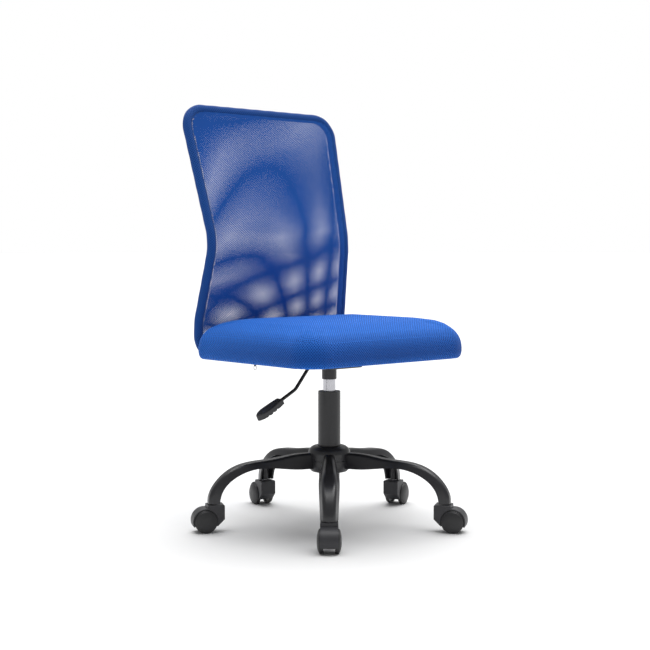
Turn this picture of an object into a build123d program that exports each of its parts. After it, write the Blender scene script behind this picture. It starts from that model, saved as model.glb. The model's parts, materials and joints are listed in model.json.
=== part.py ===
"""
Swivel office chair: a stretched-mesh back and a padded seat on a gas column and a five-leg base.

Millimetres, +Z up, floor at Z = 0, column on the Z axis. The sitter faces -Y, with the lever by the
right hand, on the -X side.
"""
from build123d import *
import os
from math import cos, radians, sin, tan

os.makedirs("parts", exist_ok=True)

# ---------------------------------------------------------------- driving dimensions
running_fit = 0.08  # radial clearance of a shaft in its bearing
free_gap = 0.4  # clearance between pieces that pass each other

# Base
leg_count = 5
first_leg_angle = -131.7  # direction of the first leg, from +X
leg_reach = 265.0  # column axis to caster stem
leg_drop = 89.0  # crest of a leg down to its end
leg_crest_radius = 155.0  # where a leg starts to curve down
leg_crest_depth = 15.5
leg_root_rise = 13.5  # back of a leg at the hub, above its crest
leg_root_depth = 38.0
leg_root_width = 36.0
leg_crest_width = 42.0
leg_end_width = 38.0
leg_end_outer = 12.0  # stem axis to the outer face of the leg's end
leg_end_inner = 10.0
leg_back_share = 0.6  # width of a leg's back against its foot
leg_corner = 9.0  # rounding along a leg's back
leg_wall = 3.0
hub_radius = 47.0
hub_below_crest = 31.0
hub_height = 57.0
socket_wall = 3.5  # plastic round a caster stem

# Casters
wheel_radius = 25.0
wheel_width = 13.8
wheel_dome = 3.0  # bulge of a wheel's outer face
wheel_gap = 23.2  # between the two wheels of a pair
neck_rise = 10.0  # top of a caster above its wheels
stem_gap = 2.0  # caster to leg
caster_trail = 19.0  # stem axis to axle
hood_width = 37.0
hood_wall = 2.5
neck_reach = 22.0  # stem axis to the front of the neck
axle_radius = 3.0
stem_radius = 5.5
stem_pin_radius = 4.0
stem_length = 24.0
# Turn of each caster away from pointing straight out along its leg
caster_turns = (0.0, 3.0, 10.0, -7.8, -3.0)

# Gas column
tube_radius = 25.0
tube_wall = 1.5
foot_plate = 3.0  # closed end of the column's tube
tube_length = 192.0
tube_overhang = 16.0  # column end below the hub
tube_taper = 1.45  # degrees, over the part held in the hub
bush_length = 57.0
bush_flange = 3.0
cylinder_radius = 14.0
cylinder_wall = 2.0
cylinder_length = 222.0
cylinder_taper = 1.45
rod_radius = 5.0
rod_length = 154.0
piston_height = 12.0
ball_radius = 1.45
ball_count = 12
ball_track = 5.0  # rod's surface to the middle of the balls
washer_thickness = 1.5
buffer_height = 10.0
seat_lowering = 15.0  # how far the seat can still go down
button_radius = 4.0

# Seat
seat_width = 486.0
seat_front = -211.0
seat_rear = 182.0
seat_front_corner = 60.0
seat_rear_corner = 30.0
cushion_height = 90.0
cushion_rim_drop = 8.0  # padded rim below the board
board_thickness = 12.0
board_inset = 18.0
cover_thickness = 1.5
cloth_thickness = 0.8
socket_depth = 36.5  # column end inside its collar
collar_wall = 2.5
plate_thickness = 3.0
plate_width = 170.0
plate_front = -72.0
plate_rear = 80.0
tray_width = 106.0
tray_depth = 27.2
bolt_radius = 3.0
bolt_head_radius = 6.0
bolt_head_height = 4.5

# Height lever
lever_rod_radius = 3.75
lever_pin_radius = 2.0
lever_pivot_x = -44.0
lever_bend_x = -99.0
lever_bend_drop = 65.0  # pivot down to the elbow below the seat
lever_end_x = -158.0
lever_end_drop = 95.3
handle_length = 72.0
handle_width = 28.0
handle_thickness = 13.0

# Back
back_tube_radius = 9.5
back_tube_wall = 1.5
back_gap = 6.2  # seat to back
back_lean_in = 33.5  # foot forward to waist
back_lean_out = 48.0  # foot back to top
back_height = 550.5  # bottom run to top run, centre to centre
back_foot_half = 213.4
back_waist_half = 196.5
back_top_half = 217.7
back_foot_rise = 73.5
back_waist_rise = 249.5
sleeve_thickness = 0.8
sleeve_seam = 4.3  # tube centre to the cut edge of a net panel
bracket_width = 80.0
bracket_flange = 10.0

# Zip
zip_start = -66.0
zip_end = 190.0
zip_slider_x = -53.0
zip_slider_length = 9.0

# ---------------------------------------------------------------- heights and places that follow
leg_angles = [first_leg_angle + i * 360 / leg_count for i in range(leg_count)]
caster_height = 2 * wheel_radius + neck_rise
leg_end_height = caster_height + stem_gap
leg_crest_height = leg_end_height + leg_drop
hub_bottom = leg_crest_height - hub_below_crest
hub_top = hub_bottom + hub_height
tube_bottom = hub_bottom - tube_overhang
tube_top = tube_bottom + tube_length
bearing_bottom = tube_bottom + foot_plate
ball_centre = bearing_bottom + washer_thickness + ball_radius + 0.05
bearing_top = ball_centre + ball_radius + 0.05 + washer_thickness
buffer_top = bearing_top + buffer_height
cylinder_bottom = buffer_top + 2.0 + seat_lowering
cylinder_top = cylinder_bottom + cylinder_length
collar_bottom = cylinder_top - socket_depth
cylinder_bore_top = collar_bottom + 4.5
tray_floor = cylinder_top - 10.0
plate_top = tray_floor + tray_depth
board_bottom = plate_top + cloth_thickness
board_top = board_bottom + board_thickness
cushion_bottom = board_bottom - cushion_rim_drop
collar_radius = cylinder_radius + collar_wall
ball_circle = rod_radius + ball_track
lever_pivot_z = plate_top - lever_rod_radius - 1.45
lever_bend = Vector(lever_bend_x, 0, lever_pivot_z - lever_bend_drop)
lever_end = Vector(lever_end_x, 0, lever_pivot_z - lever_end_drop)
button_top = lever_pivot_z - lever_rod_radius - 0.25
back_foot_z = board_bottom - 1.5
sleeve_radius = back_tube_radius + sleeve_thickness
back_foot_y = seat_rear + back_gap + sleeve_radius
back_waist_y = back_foot_y - back_lean_in
back_top_y = back_foot_y + back_lean_out
axle_height = wheel_radius


def keep(piece, name):
    """Name a finished piece and write it to its own file."""
    piece.label = name
    export_step(piece, f"parts/{name}.step")


def turned(*profile):
    """A solid turned about the Z axis from (radius, height) points."""
    with BuildPart() as solid:
        with BuildSketch(Plane.XZ):
            with BuildLine():
                Polyline(*profile, close=True)
            make_face()
        revolve(axis=Axis.Z)
    return solid.part


# ---------------------------------------------------------------- star base
leg_ellipse_outer = leg_reach + leg_end_outer - leg_crest_radius
leg_ellipse_inner = leg_reach - leg_end_inner - leg_crest_radius


def leg_stations(start):
    """Back point, belly point and width of a leg at each of its cross-sections, hub to end."""
    stations = []
    for share in (0.0, 0.33, 0.67):
        radius = start + share * (leg_crest_radius - start)
        slope = (leg_crest_radius - radius) / (leg_crest_radius - hub_radius)
        top = leg_crest_height + leg_root_rise * slope
        depth = leg_crest_depth + (leg_root_depth - leg_crest_depth) * slope
        width = leg_crest_width + (leg_root_width - leg_crest_width) * slope
        stations.append(((radius, top), (radius, top - depth), width))
    for turn, widening in ((90, 0.0), (67.5, 3.0), (45, 3.0), (22.5, 1.0), (0, 0.0)):
        across, up = cos(radians(turn)), sin(radians(turn))
        top = (leg_crest_radius + leg_ellipse_outer * across, leg_end_height + leg_drop * up)
        belly = (
            leg_crest_radius + leg_ellipse_inner * across,
            leg_end_height + (leg_drop - leg_crest_depth) * up,
        )
        width = leg_end_width + (leg_crest_width - leg_end_width) * turn / 90
        stations.append((top, belly, width + widening))
    return stations


def leg_solid(start, wall=0.0, below=0.0):
    """A leg along +X, or the hollow inside it, which is drawn in by a wall and runs out below."""
    sections = []
    for top, belly, width in leg_stations(start):
        height = Vector(top[0] - belly[0], 0, top[1] - belly[1])
        up = height.normalized()
        foot = Vector(belly[0], 0, belly[1]) - up * below
        plane = Plane(origin=foot, x_dir=(0, 1, 0), z_dir=Vector(0, 1, 0).cross(up))
        inner = width / 2 - wall
        rise = height.length + below - wall
        with BuildSketch(plane) as section:
            with BuildLine():
                back = leg_back_share * inner
                Polyline((-inner, 0), (inner, 0), (back, rise), (-back, rise), close=True)
            make_face()
            fillet(section.vertices().group_by(Axis.Y)[-1], leg_corner - wall)
        sections.append(section.sketch)
    with BuildPart() as solid:
        loft(sections=sections)
    return solid.part


leg = leg_solid(start=26.0)
leg_hollow = leg_solid(start=hub_radius + 6.0, wall=leg_wall, below=4.0)

with BuildPart() as leg_cavity:
    add(leg_hollow)
    # the hollow runs out through the end of the leg
    with BuildSketch(Plane.XY.offset(leg_end_height + 0.01)):
        with Locations((leg_reach + (leg_end_outer - leg_end_inner) / 2, 0)):
            Rectangle(leg_end_outer + leg_end_inner - 2 * leg_wall, leg_end_width - 2 * leg_wall)
    extrude(amount=-3.0)
    # a boss for the caster stem, held by a cross rib
    with Locations((leg_reach, 0, leg_end_height - 3.0)):
        Cylinder(
            stem_radius + socket_wall,
            stem_length + 10.0,
            align=(Align.CENTER, Align.CENTER, Align.MIN),
            mode=Mode.SUBTRACT,
        )
        Box(
            2.4,
            leg_end_width,
            stem_length + 6.0,
            align=(Align.CENTER, Align.CENTER, Align.MIN),
            mode=Mode.SUBTRACT,
        )

tube_slope = tan(radians(tube_taper))
tube_foot_radius = tube_radius - (hub_top - tube_bottom) * tube_slope
hub_foot_radius = tube_radius - (hub_top - hub_bottom) * tube_slope
ring_inner, ring_outer, ring_height = hub_foot_radius + 5.0, hub_foot_radius + 8.0, 12.0

mouth_radius = tube_radius + 2.0
dome = hub_radius - mouth_radius
parting = hub_bottom + 26.0  # groove round the hub
groove = 0.9
with BuildPart() as star_base:
    with BuildSketch(Plane.XZ):
        with BuildLine():
            Polyline((0, hub_top), (0, hub_bottom), (hub_radius - 7, hub_bottom))
            ThreePointArc(
                (hub_radius - 7, hub_bottom),
                (hub_radius - 2, hub_bottom + 6.5),
                (hub_radius, hub_bottom + 15),
            )
            Polyline(
                (hub_radius, hub_bottom + 15),
                (hub_radius, parting - groove),
                (hub_radius - groove, parting - groove / 2),
                (hub_radius - groove, parting + groove / 2),
                (hub_radius, parting + groove),
                (hub_radius, hub_top - 17),
            )
            ThreePointArc(
                (hub_radius, hub_top - 17),
                (hub_radius - 0.25 * dome, hub_top - 5.2),
                (mouth_radius, hub_top),
            )
            Line((mouth_radius, hub_top), (0, hub_top))
        make_face()
    revolve(axis=Axis.Z)
    with PolarLocations(0, leg_count, start_angle=first_leg_angle):
        add(leg)
    with PolarLocations(0, leg_count, start_angle=first_leg_angle):
        add(leg_cavity.part, mode=Mode.SUBTRACT)
    with BuildSketch(Plane.XZ):  # taper socket for the column
        with BuildLine():
            Polyline(
                (0, hub_bottom),
                (hub_foot_radius, hub_bottom),
                (tube_radius, hub_top),
                (0, hub_top),
                close=True,
            )
        make_face()
    revolve(axis=Axis.Z, mode=Mode.SUBTRACT)
    with BuildSketch(Plane.XY.offset(hub_bottom)):  # seat of the steel ring
        Circle(ring_outer)
        Circle(ring_inner, mode=Mode.SUBTRACT)
    extrude(amount=ring_height, mode=Mode.SUBTRACT)
    with BuildSketch(Plane.XY.offset(leg_end_height)):  # stem sockets
        with PolarLocations(leg_reach, leg_count, start_angle=first_leg_angle):
            Circle(stem_radius)
    extrude(amount=stem_length, mode=Mode.SUBTRACT)
keep(star_base.part, "star_base")

with BuildPart() as hub_ring:
    with BuildSketch(Plane.XY.offset(hub_bottom)):
        Circle(ring_outer)
        Circle(ring_inner, mode=Mode.SUBTRACT)
    extrude(amount=ring_height)
keep(hub_ring.part, "hub_ring")

# ---------------------------------------------------------------- casters
stem_collar = 7.5
pin_foot = axle_height + axle_radius + 8.0
wheel_well = wheel_radius + 1.0
hood_radius = wheel_well + hood_wall
hood_cut = 14.5  # height of the hood's lower edge
web_half = wheel_gap / 2 - free_gap

with BuildPart() as stem_group:
    with PolarLocations(leg_reach, leg_count, start_angle=first_leg_angle):
        add(
            turned(
                (0, pin_foot),
                (stem_pin_radius, pin_foot),
                (stem_pin_radius, caster_height + 0.4),
                (stem_collar, caster_height + 0.4),
                (stem_collar, leg_end_height),
                (stem_radius, leg_end_height),
                (stem_radius, leg_end_height + stem_length - 2),
                (stem_radius - 2, leg_end_height + stem_length),
                (0, leg_end_height + stem_length),
            )
        )
keep(stem_group.part, "caster_stems")

with BuildPart() as caster_housing:
    with BuildSketch(Plane.XZ) as side:
        with Locations((caster_trail, axle_height)):
            Circle(hood_radius)
        with BuildLine():
            Polyline(
                (-neck_reach, caster_height),
                (caster_trail - 4, caster_height),
                (caster_trail, axle_height),
                (caster_trail, hood_cut),
                (-neck_reach + 15, hood_cut),
                (-neck_reach, axle_height + 4),
                close=True,
            )
        make_face()
        with Locations((caster_trail, hood_cut)):
            Rectangle(4 * hood_radius, hood_radius, align=(Align.CENTER, Align.MAX), mode=Mode.SUBTRACT)
        fillet(side.vertices().sort_by_distance((-neck_reach, caster_height, 0))[0], 2.5)
    extrude(amount=hood_width / 2, both=True)
    rims = caster_housing.faces().filter_by(Axis.Y)
    chamfer(rims.edges(), 0.8)
    for side_sign in (-1, 1):
        with BuildSketch(Plane.XZ.offset(side_sign * web_half)):
            with Locations((caster_trail, axle_height)):
                Circle(wheel_well)
        extrude(amount=side_sign * hood_width / 2, mode=Mode.SUBTRACT)
    with BuildSketch(Plane.XY.offset(caster_height)):
        Circle(stem_pin_radius + running_fit)
    extrude(amount=pin_foot - 0.5 - caster_height, mode=Mode.SUBTRACT)
    with BuildSketch(Plane.XZ):
        with Locations((caster_trail, axle_height)):
            Circle(axle_radius)
    extrude(amount=wheel_gap, both=True, mode=Mode.SUBTRACT)

axle_half = wheel_gap / 2 + wheel_width - 5.0
with BuildPart() as caster_axle:
    with BuildSketch(Plane.XZ):
        with Locations((caster_trail, axle_height)):
            Circle(axle_radius)
    extrude(amount=axle_half, both=True)
    chamfer(caster_axle.edges().filter_by(GeomType.CIRCLE), 0.5)

wheel_inner_face = wheel_gap / 2
wheel_outer_face = wheel_inner_face + wheel_width
with BuildPart() as wheel_blank:
    with BuildSketch(Plane.XY) as wheel_half:
        with BuildLine():
            Polyline(
                (0, axle_half + 0.5),
                (axle_radius + running_fit, axle_half + 0.5),
                (axle_radius + running_fit, wheel_inner_face),
                (8.0, wheel_inner_face),
                (8.0, wheel_inner_face + 3.0),
                (wheel_radius - 4.0, wheel_inner_face + 3.0),
                (wheel_radius - 4.0, wheel_inner_face + 0.4),
                (wheel_radius, wheel_inner_face + 0.4),
                (wheel_radius, wheel_outer_face - wheel_dome - 1.0),
                (wheel_radius - 2.6, wheel_outer_face - wheel_dome - 1.0),
                (wheel_radius - 3.6, wheel_outer_face - wheel_dome),
            )
            ThreePointArc(
                (wheel_radius - 3.6, wheel_outer_face - wheel_dome),
                (0.56 * wheel_radius, wheel_outer_face - 0.32 * wheel_dome),
                (0.25 * wheel_radius, wheel_outer_face),
            )
            Polyline((0.25 * wheel_radius, wheel_outer_face), (0, wheel_outer_face), (0, axle_half + 0.5))
        make_face()
        tread_corners = wheel_half.vertices().filter_by(lambda v: v.X > wheel_radius - 0.1)
        fillet(tread_corners.sort_by(Axis.Y)[-1], 2.4)
        fillet(tread_corners.sort_by(Axis.Y)[0], 1.0)
    revolve(axis=Axis.Y)

wheel_place = Location((caster_trail, 0, axle_height))
with BuildPart() as wheel_left:
    with Locations(wheel_place):
        add(wheel_blank.part)
with BuildPart() as wheel_right:
    add(wheel_left.part)
    mirror(about=Plane.XZ, mode=Mode.REPLACE)

caster_pieces = {
    "caster_housing": caster_housing.part,
    "caster_axle": caster_axle.part,
    "caster_wheel_left": wheel_left.part,
    "caster_wheel_right": wheel_right.part,
}
for number, (leg_angle, turn) in enumerate(zip(leg_angles, caster_turns), start=1):
    stem_x, stem_y = leg_reach * cos(radians(leg_angle)), leg_reach * sin(radians(leg_angle))
    for name, piece in caster_pieces.items():
        with BuildPart() as placed:
            with Locations(Location((stem_x, stem_y, 0), (0, 0, leg_angle + turn))):
                add(piece)
        keep(placed.part, f"{name}_{number}")

# ---------------------------------------------------------------- gas column, lower part
tube_bore = tube_radius - tube_wall
outer_tube = turned(
    (rod_radius + 0.6, tube_bottom),
    (tube_foot_radius - 0.6, tube_bottom),
    (tube_foot_radius, tube_bottom + 0.6),
    (tube_radius, hub_top),
    (tube_radius, tube_top),
    (tube_bore, tube_top),
    (tube_bore, hub_top),
    (tube_foot_radius - tube_wall, tube_bottom + foot_plate),
    (rod_radius + 0.6, tube_bottom + foot_plate),
)
keep(outer_tube, "column_outer_tube")

bush_bore = cylinder_radius + running_fit
guide_bush = turned(
    (bush_bore, tube_top - bush_length),
    (tube_bore - 3, tube_top - bush_length),
    (tube_bore, tube_top - bush_length + 4),
    (tube_bore, tube_top),
    (tube_radius, tube_top),
    (tube_radius, tube_top + bush_flange - 0.8),
    (tube_radius - 0.8, tube_top + bush_flange),
    (bush_bore + 1, tube_top + bush_flange),
    (bush_bore, tube_top + bush_flange - 1),
    (bush_bore, tube_top - 14),
    (bush_bore + 1.5, tube_top - 15.5),
    (bush_bore + 1.5, tube_top - bush_length + 15.5),
    (bush_bore, tube_top - bush_length + 14),
)
keep(guide_bush, "guide_bush")

washer_outer = ball_circle + 3.5
washer_inner = rod_radius + 0.6
with BuildPart() as lower_washer:
    with BuildSketch(Plane.XY.offset(bearing_bottom)):
        Circle(washer_outer)
        Circle(washer_inner, mode=Mode.SUBTRACT)
    extrude(amount=washer_thickness)
keep(lower_washer.part, "bearing_washer_lower")

with BuildPart() as bearing_cage:
    with BuildSketch(Plane.XY.offset(ball_centre)):
        Circle(washer_outer - 0.7)
        Circle(washer_inner + 0.7, mode=Mode.SUBTRACT)
        with PolarLocations(ball_circle, ball_count):
            Circle(ball_radius + 0.12, mode=Mode.SUBTRACT)
    extrude(amount=0.6, both=True)
keep(bearing_cage.part, "bearing_cage")

with BuildPart() as bearing_balls:
    with Locations((0, 0, ball_centre)):
        with PolarLocations(ball_circle, ball_count):
            Sphere(ball_radius)
keep(bearing_balls.part, "bearing_balls")

with BuildPart() as upper_washer:
    with BuildSketch(Plane.XY.offset(bearing_top - washer_thickness)):
        Circle(washer_outer)
        Circle(rod_radius, mode=Mode.SUBTRACT)
    extrude(amount=washer_thickness)
keep(upper_washer.part, "bearing_washer_upper")

with BuildPart() as buffer:
    with BuildSketch(Plane.XY.offset(bearing_top)):
        Circle(cylinder_radius - 1)
        Circle(rod_radius, mode=Mode.SUBTRACT)
    extrude(amount=buffer_height)
    fillet(buffer.faces().sort_by(Axis.Z)[-1].outer_wire().edges(), 2.0)
keep(buffer.part, "column_buffer")

rod_bottom = tube_bottom - 6.0
clip_top = tube_bottom - free_gap
clip_thickness = 1.4
groove_radius = rod_radius - 0.8
piston_top = rod_bottom + rod_length
piston_rod = turned(
    (0, rod_bottom),
    (rod_radius - 0.8, rod_bottom),
    (rod_radius, rod_bottom + 0.8),
    (rod_radius, clip_top - clip_thickness),
    (groove_radius, clip_top - clip_thickness),
    (groove_radius, clip_top),
    (rod_radius, clip_top),
    (rod_radius, piston_top - piston_height - 2),
    (rod_radius - 1.5, piston_top - piston_height - 2),
    (rod_radius - 1.5, piston_top),
    (0, piston_top),
)
keep(piston_rod, "piston_rod")

with BuildPart() as retaining_clip:
    with BuildSketch(Plane.XY.offset(clip_top - clip_thickness)):
        Circle(rod_radius + 3.5)
        Circle(groove_radius, mode=Mode.SUBTRACT)
        with Locations((rod_radius + 2, 0)):
            Rectangle(8, 2 * groove_radius - 2, mode=Mode.SUBTRACT)
    extrude(amount=clip_thickness)
keep(retaining_clip.part, "retaining_clip")

piston_radius = cylinder_radius - cylinder_wall - running_fit
piston = turned(
    (rod_radius - 1.5, piston_top - piston_height - 2),
    (piston_radius - 1, piston_top - piston_height - 2),
    (piston_radius, piston_top - piston_height - 1),
    (piston_radius, piston_top - 9),
    (piston_radius - 1.4, piston_top - 9),
    (piston_radius - 1.4, piston_top - 6),
    (piston_radius, piston_top - 6),
    (piston_radius, piston_top - 3),
    (piston_radius - 1, piston_top - 2),
    (rod_radius - 1.5, piston_top - 2),
)
keep(piston, "piston")

# ---------------------------------------------------------------- gas column, upper part
cylinder_bore = cylinder_radius - cylinder_wall
cylinder_slope = tan(radians(cylinder_taper))
cylinder_top_radius = cylinder_radius - socket_depth * cylinder_slope
button_bore = button_radius + running_fit
button_seat = cylinder_top - 18.0
gas_cylinder = turned(
    (cylinder_bore, cylinder_bottom),
    (cylinder_radius - 0.6, cylinder_bottom),
    (cylinder_radius, cylinder_bottom + 0.6),
    (cylinder_radius, collar_bottom),
    (cylinder_top_radius, cylinder_top),
    (button_bore, cylinder_top),
    (button_bore, button_seat),
    (0, button_seat),
    (0, cylinder_bore_top),
    (cylinder_bore, cylinder_bore_top),
)
keep(gas_cylinder, "gas_cylinder")

seal_height = 12.0
with BuildPart() as cylinder_seal:
    with BuildSketch(Plane.XY.offset(cylinder_bottom)):
        Circle(cylinder_bore)
        Circle(rod_radius + running_fit, mode=Mode.SUBTRACT)
    extrude(amount=seal_height)
keep(cylinder_seal.part, "cylinder_seal")

button_stroke_room = 4.2
valve_button = turned(
    (0, button_seat + button_stroke_room),
    (button_radius, button_seat + button_stroke_room),
    (button_radius, button_top - 1.2),
    (button_radius - 0.8, button_top - 0.3),
    (button_radius - 2, button_top),
    (0, button_top),
)
keep(valve_button, "valve_button")

collar_top = tray_floor + plate_thickness + 2.0
collar_top_radius = cylinder_radius - (collar_top - collar_bottom) * cylinder_slope
column_collar = turned(
    (cylinder_radius, collar_bottom),
    (collar_radius - 0.8, collar_bottom),
    (collar_radius, collar_bottom + 0.8),
    (collar_radius, collar_top),
    (collar_top_radius, collar_top),
)
keep(column_collar, "column_collar")

# ---------------------------------------------------------------- seat plate and lever
plate_middle = (plate_front + plate_rear) / 2
plate_length = plate_rear - plate_front
tray_length = plate_length - 30.0
flange_bottom = plate_top - plate_thickness
bolt_x, bolt_y = plate_width / 2 - 15.0, plate_length / 2 - 20.0
plate_bolts = [(x, plate_middle + y) for x in (-bolt_x, bolt_x) for y in (-bolt_y, bolt_y)]
lug_gap = 12.0
slot_width = 2 * lever_rod_radius + 4.0

with BuildPart() as seat_plate:
    with BuildSketch(Plane.XY.offset(flange_bottom)):
        with Locations((0, plate_middle)):
            RectangleRounded(plate_width, plate_length, 14)
    extrude(amount=plate_thickness)
    with BuildSketch(Plane.XY.offset(tray_floor)):
        with Locations((0, plate_middle)):
            RectangleRounded(tray_width, tray_length, 10)
    extrude(amount=tray_depth)
    with BuildSketch(Plane.XY.offset(tray_floor + plate_thickness)):
        with Locations((0, plate_middle)):
            RectangleRounded(tray_width - 2 * plate_thickness, tray_length - 2 * plate_thickness, 7)
    extrude(amount=tray_depth, mode=Mode.SUBTRACT)
    fillet(seat_plate.faces().sort_by(Axis.Z)[0].edges(), 2.4)
    with BuildSketch(Plane.XY.offset(tray_floor)):
        Circle(collar_radius)
    extrude(amount=plate_thickness, mode=Mode.SUBTRACT)
    with BuildSketch(Plane.XY.offset(flange_bottom)):
        with Locations(*plate_bolts):
            Circle(bolt_radius + 0.3)
    extrude(amount=plate_thickness, mode=Mode.SUBTRACT)
    # slot for the lever, and the two lugs that carry its pin
    with Locations((-tray_width / 2, 0, tray_floor + plate_thickness + 0.5)):
        Box(
            3 * plate_thickness,
            slot_width,
            tray_depth - 2 * plate_thickness - 0.5,
            align=(Align.CENTER, Align.CENTER, Align.MIN),
            mode=Mode.SUBTRACT,
        )
    with Locations((lever_pivot_x, 0, tray_floor + plate_thickness)):
        with Locations((0, lug_gap / 2 + 1.5), (0, -lug_gap / 2 - 1.5)):
            Box(
                12,
                3,
                lever_pivot_z + 4.5 - tray_floor - plate_thickness,
                align=(Align.CENTER, Align.CENTER, Align.MIN),
            )
    with BuildSketch(Plane.XZ):
        with Locations((lever_pivot_x, lever_pivot_z)):
            Circle(lever_pin_radius)
    extrude(amount=lug_gap, both=True, mode=Mode.SUBTRACT)
keep(seat_plate.part, "seat_plate")

with BuildPart() as lever_pin:
    with BuildSketch(Plane.XZ):
        with Locations((lever_pivot_x, lever_pivot_z)):
            Circle(lever_pin_radius)
    extrude(amount=lug_gap / 2 + 4.5, both=True)
    chamfer(lever_pin.edges().filter_by(GeomType.CIRCLE), 0.4)
keep(lever_pin.part, "lever_pin")

with BuildPart() as lever_rod:
    with BuildLine() as rod_line:
        FilletPolyline(
            (button_radius + 3, 0, lever_pivot_z),
            (lever_pivot_x, 0, lever_pivot_z),
            lever_bend,
            lever_end,
            radius=[9.0, 26.0],
        )
    with BuildSketch(Plane(rod_line.line @ 0, z_dir=rod_line.line % 0)):
        Circle(lever_rod_radius)
    sweep()
    with BuildSketch(Plane.XZ):  # boss round the pin
        with Locations((lever_pivot_x, lever_pivot_z)):
            Circle(lever_pin_radius + 2.9)
    extrude(amount=lug_gap / 2 - free_gap, both=True)
    with BuildSketch(Plane.XZ):
        with Locations((lever_pivot_x, lever_pivot_z)):
            Circle(lever_pin_radius + running_fit)
    extrude(amount=lug_gap, both=True, mode=Mode.SUBTRACT)
keep(lever_rod.part, "lever_rod")

# The handle lies along the last run of the rod: x along it, y across, z through its thickness.
handle_run = (lever_end - lever_bend).normalized()
handle_start = lever_end - handle_run * 20.0
handle_plane = Plane(origin=handle_start, x_dir=handle_run, z_dir=handle_run.cross(Vector(0, 1, 0)))
half_width = handle_width / 2
with BuildPart() as lever_handle:
    with BuildSketch(handle_plane):
        with BuildLine():
            Spline(
                (0, 9.0),
                (0.45 * handle_length, half_width),
                (0.85 * handle_length, 0.8 * half_width),
                (handle_length, 0),
                (0.85 * handle_length, -0.8 * half_width),
                (0.45 * handle_length, -half_width),
                (0, -9.0),
                tangents=[(1, 0.25), (-1, 0.25)],
            )
            Line((0, -9.0), (0, 9.0))
        make_face()
    extrude(amount=handle_thickness / 2, both=True)
    # finger grooves across the underside
    for along in (0.34, 0.52, 0.70):
        groove_centre = handle_plane.from_local_coords(
            (along * handle_length, 0, handle_thickness / 2 + 2.6)
        )
        with BuildSketch(Plane(origin=groove_centre, x_dir=handle_run, z_dir=(0, 1, 0))):
            Circle(4.2)
        extrude(amount=handle_width, both=True, mode=Mode.SUBTRACT)
    fillet(lever_handle.faces().sort_by(SortBy.AREA)[-1].edges(), 3.2)
    with BuildSketch(Plane(origin=handle_start, z_dir=handle_run)):
        Circle(lever_rod_radius)
    extrude(amount=20.0, mode=Mode.SUBTRACT)
keep(lever_handle.part, "lever_handle")

# ---------------------------------------------------------------- seat board and cushion
def seat_outline(height, inset):
    """The seat's plan at a height, drawn in by an inset."""
    with BuildSketch(Plane.XY.offset(height)) as plan:
        with Locations((0, (seat_front + seat_rear) / 2)):
            Rectangle(seat_width - 2 * inset, seat_rear - seat_front - 2 * inset)
        fillet(plan.vertices().group_by(Axis.Y)[0], max(seat_front_corner - inset, 8.0))
        fillet(plan.vertices().group_by(Axis.Y)[-1], max(seat_rear_corner - inset, 8.0))
    return plan.sketch


# Share of the cushion's height, and how far its side stands in there
cushion_profile = (
    (0.0, 5.0),
    (0.1, 0.0),
    (0.56, 0.0),
    (0.74, 5.0),
    (0.86, 18.0),
    (0.95, 52.0),
    (1.0, 120.0),
)


def cushion_solid(skin):
    """The crowned cushion, drawn in by a skin all round."""
    height = cushion_height - 2 * skin
    with BuildPart() as cushion:
        loft(
            sections=[
                seat_outline(cushion_bottom + skin + share * height, inset + skin)
                for share, inset in cushion_profile
            ],
            ruled=True,
        )
    return cushion.part


bracket_top = plate_top
bracket_bottom = bracket_top - plate_thickness - bracket_flange
with BuildPart() as cushion_underside:  # room for the board, and for the bracket that leaves at the rear
    add(seat_outline(cushion_bottom, board_inset))
    extrude(amount=board_top - cushion_bottom)
    with Locations((0, seat_rear - board_inset - 5, cushion_bottom)):
        Box(
            bracket_width + 4,
            board_inset + 10,
            board_bottom - cushion_bottom,
            align=(Align.CENTER, Align.MIN, Align.MIN),
        )

outer_cushion = cushion_solid(0.0)
inner_cushion = cushion_solid(cover_thickness)
with BuildPart() as seat_foam:
    add(inner_cushion)
    add(cushion_underside.part, mode=Mode.SUBTRACT)
keep(seat_foam.part, "seat_foam")

with BuildPart() as seat_cover:
    add(outer_cushion)
    add(inner_cushion, mode=Mode.SUBTRACT)
    add(cushion_underside.part, mode=Mode.SUBTRACT)
keep(seat_cover.part, "seat_cover")

bracket_front = plate_rear + 4.0
bracket_bolts = [(0, bracket_front + 18.0), (0, bracket_front + 62.0)]
board_bolts = plate_bolts + bracket_bolts
nut_barrel = bolt_radius + 1.2
nut_flange = 9.0
nut_flange_thickness = 1.5
with BuildPart() as seat_board:
    add(seat_outline(board_bottom, board_inset))
    extrude(amount=board_thickness)
    with BuildSketch(Plane.XY.offset(board_bottom)):
        with Locations(*board_bolts):
            Circle(nut_barrel)
    extrude(amount=board_thickness, mode=Mode.SUBTRACT)
    with BuildSketch(Plane.XY.offset(board_top)):
        with Locations(*board_bolts):
            Circle(nut_flange)
    extrude(amount=-nut_flange_thickness, mode=Mode.SUBTRACT)
keep(seat_board.part, "seat_board")

with BuildPart() as underside_cloth:
    add(seat_outline(plate_top, board_inset))
    extrude(amount=cloth_thickness)
    with BuildSketch(Plane.XY.offset(plate_top)):
        with Locations(*board_bolts):
            Circle(nut_barrel)
    extrude(amount=cloth_thickness, mode=Mode.SUBTRACT)
keep(underside_cloth.part, "underside_cloth")

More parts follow.
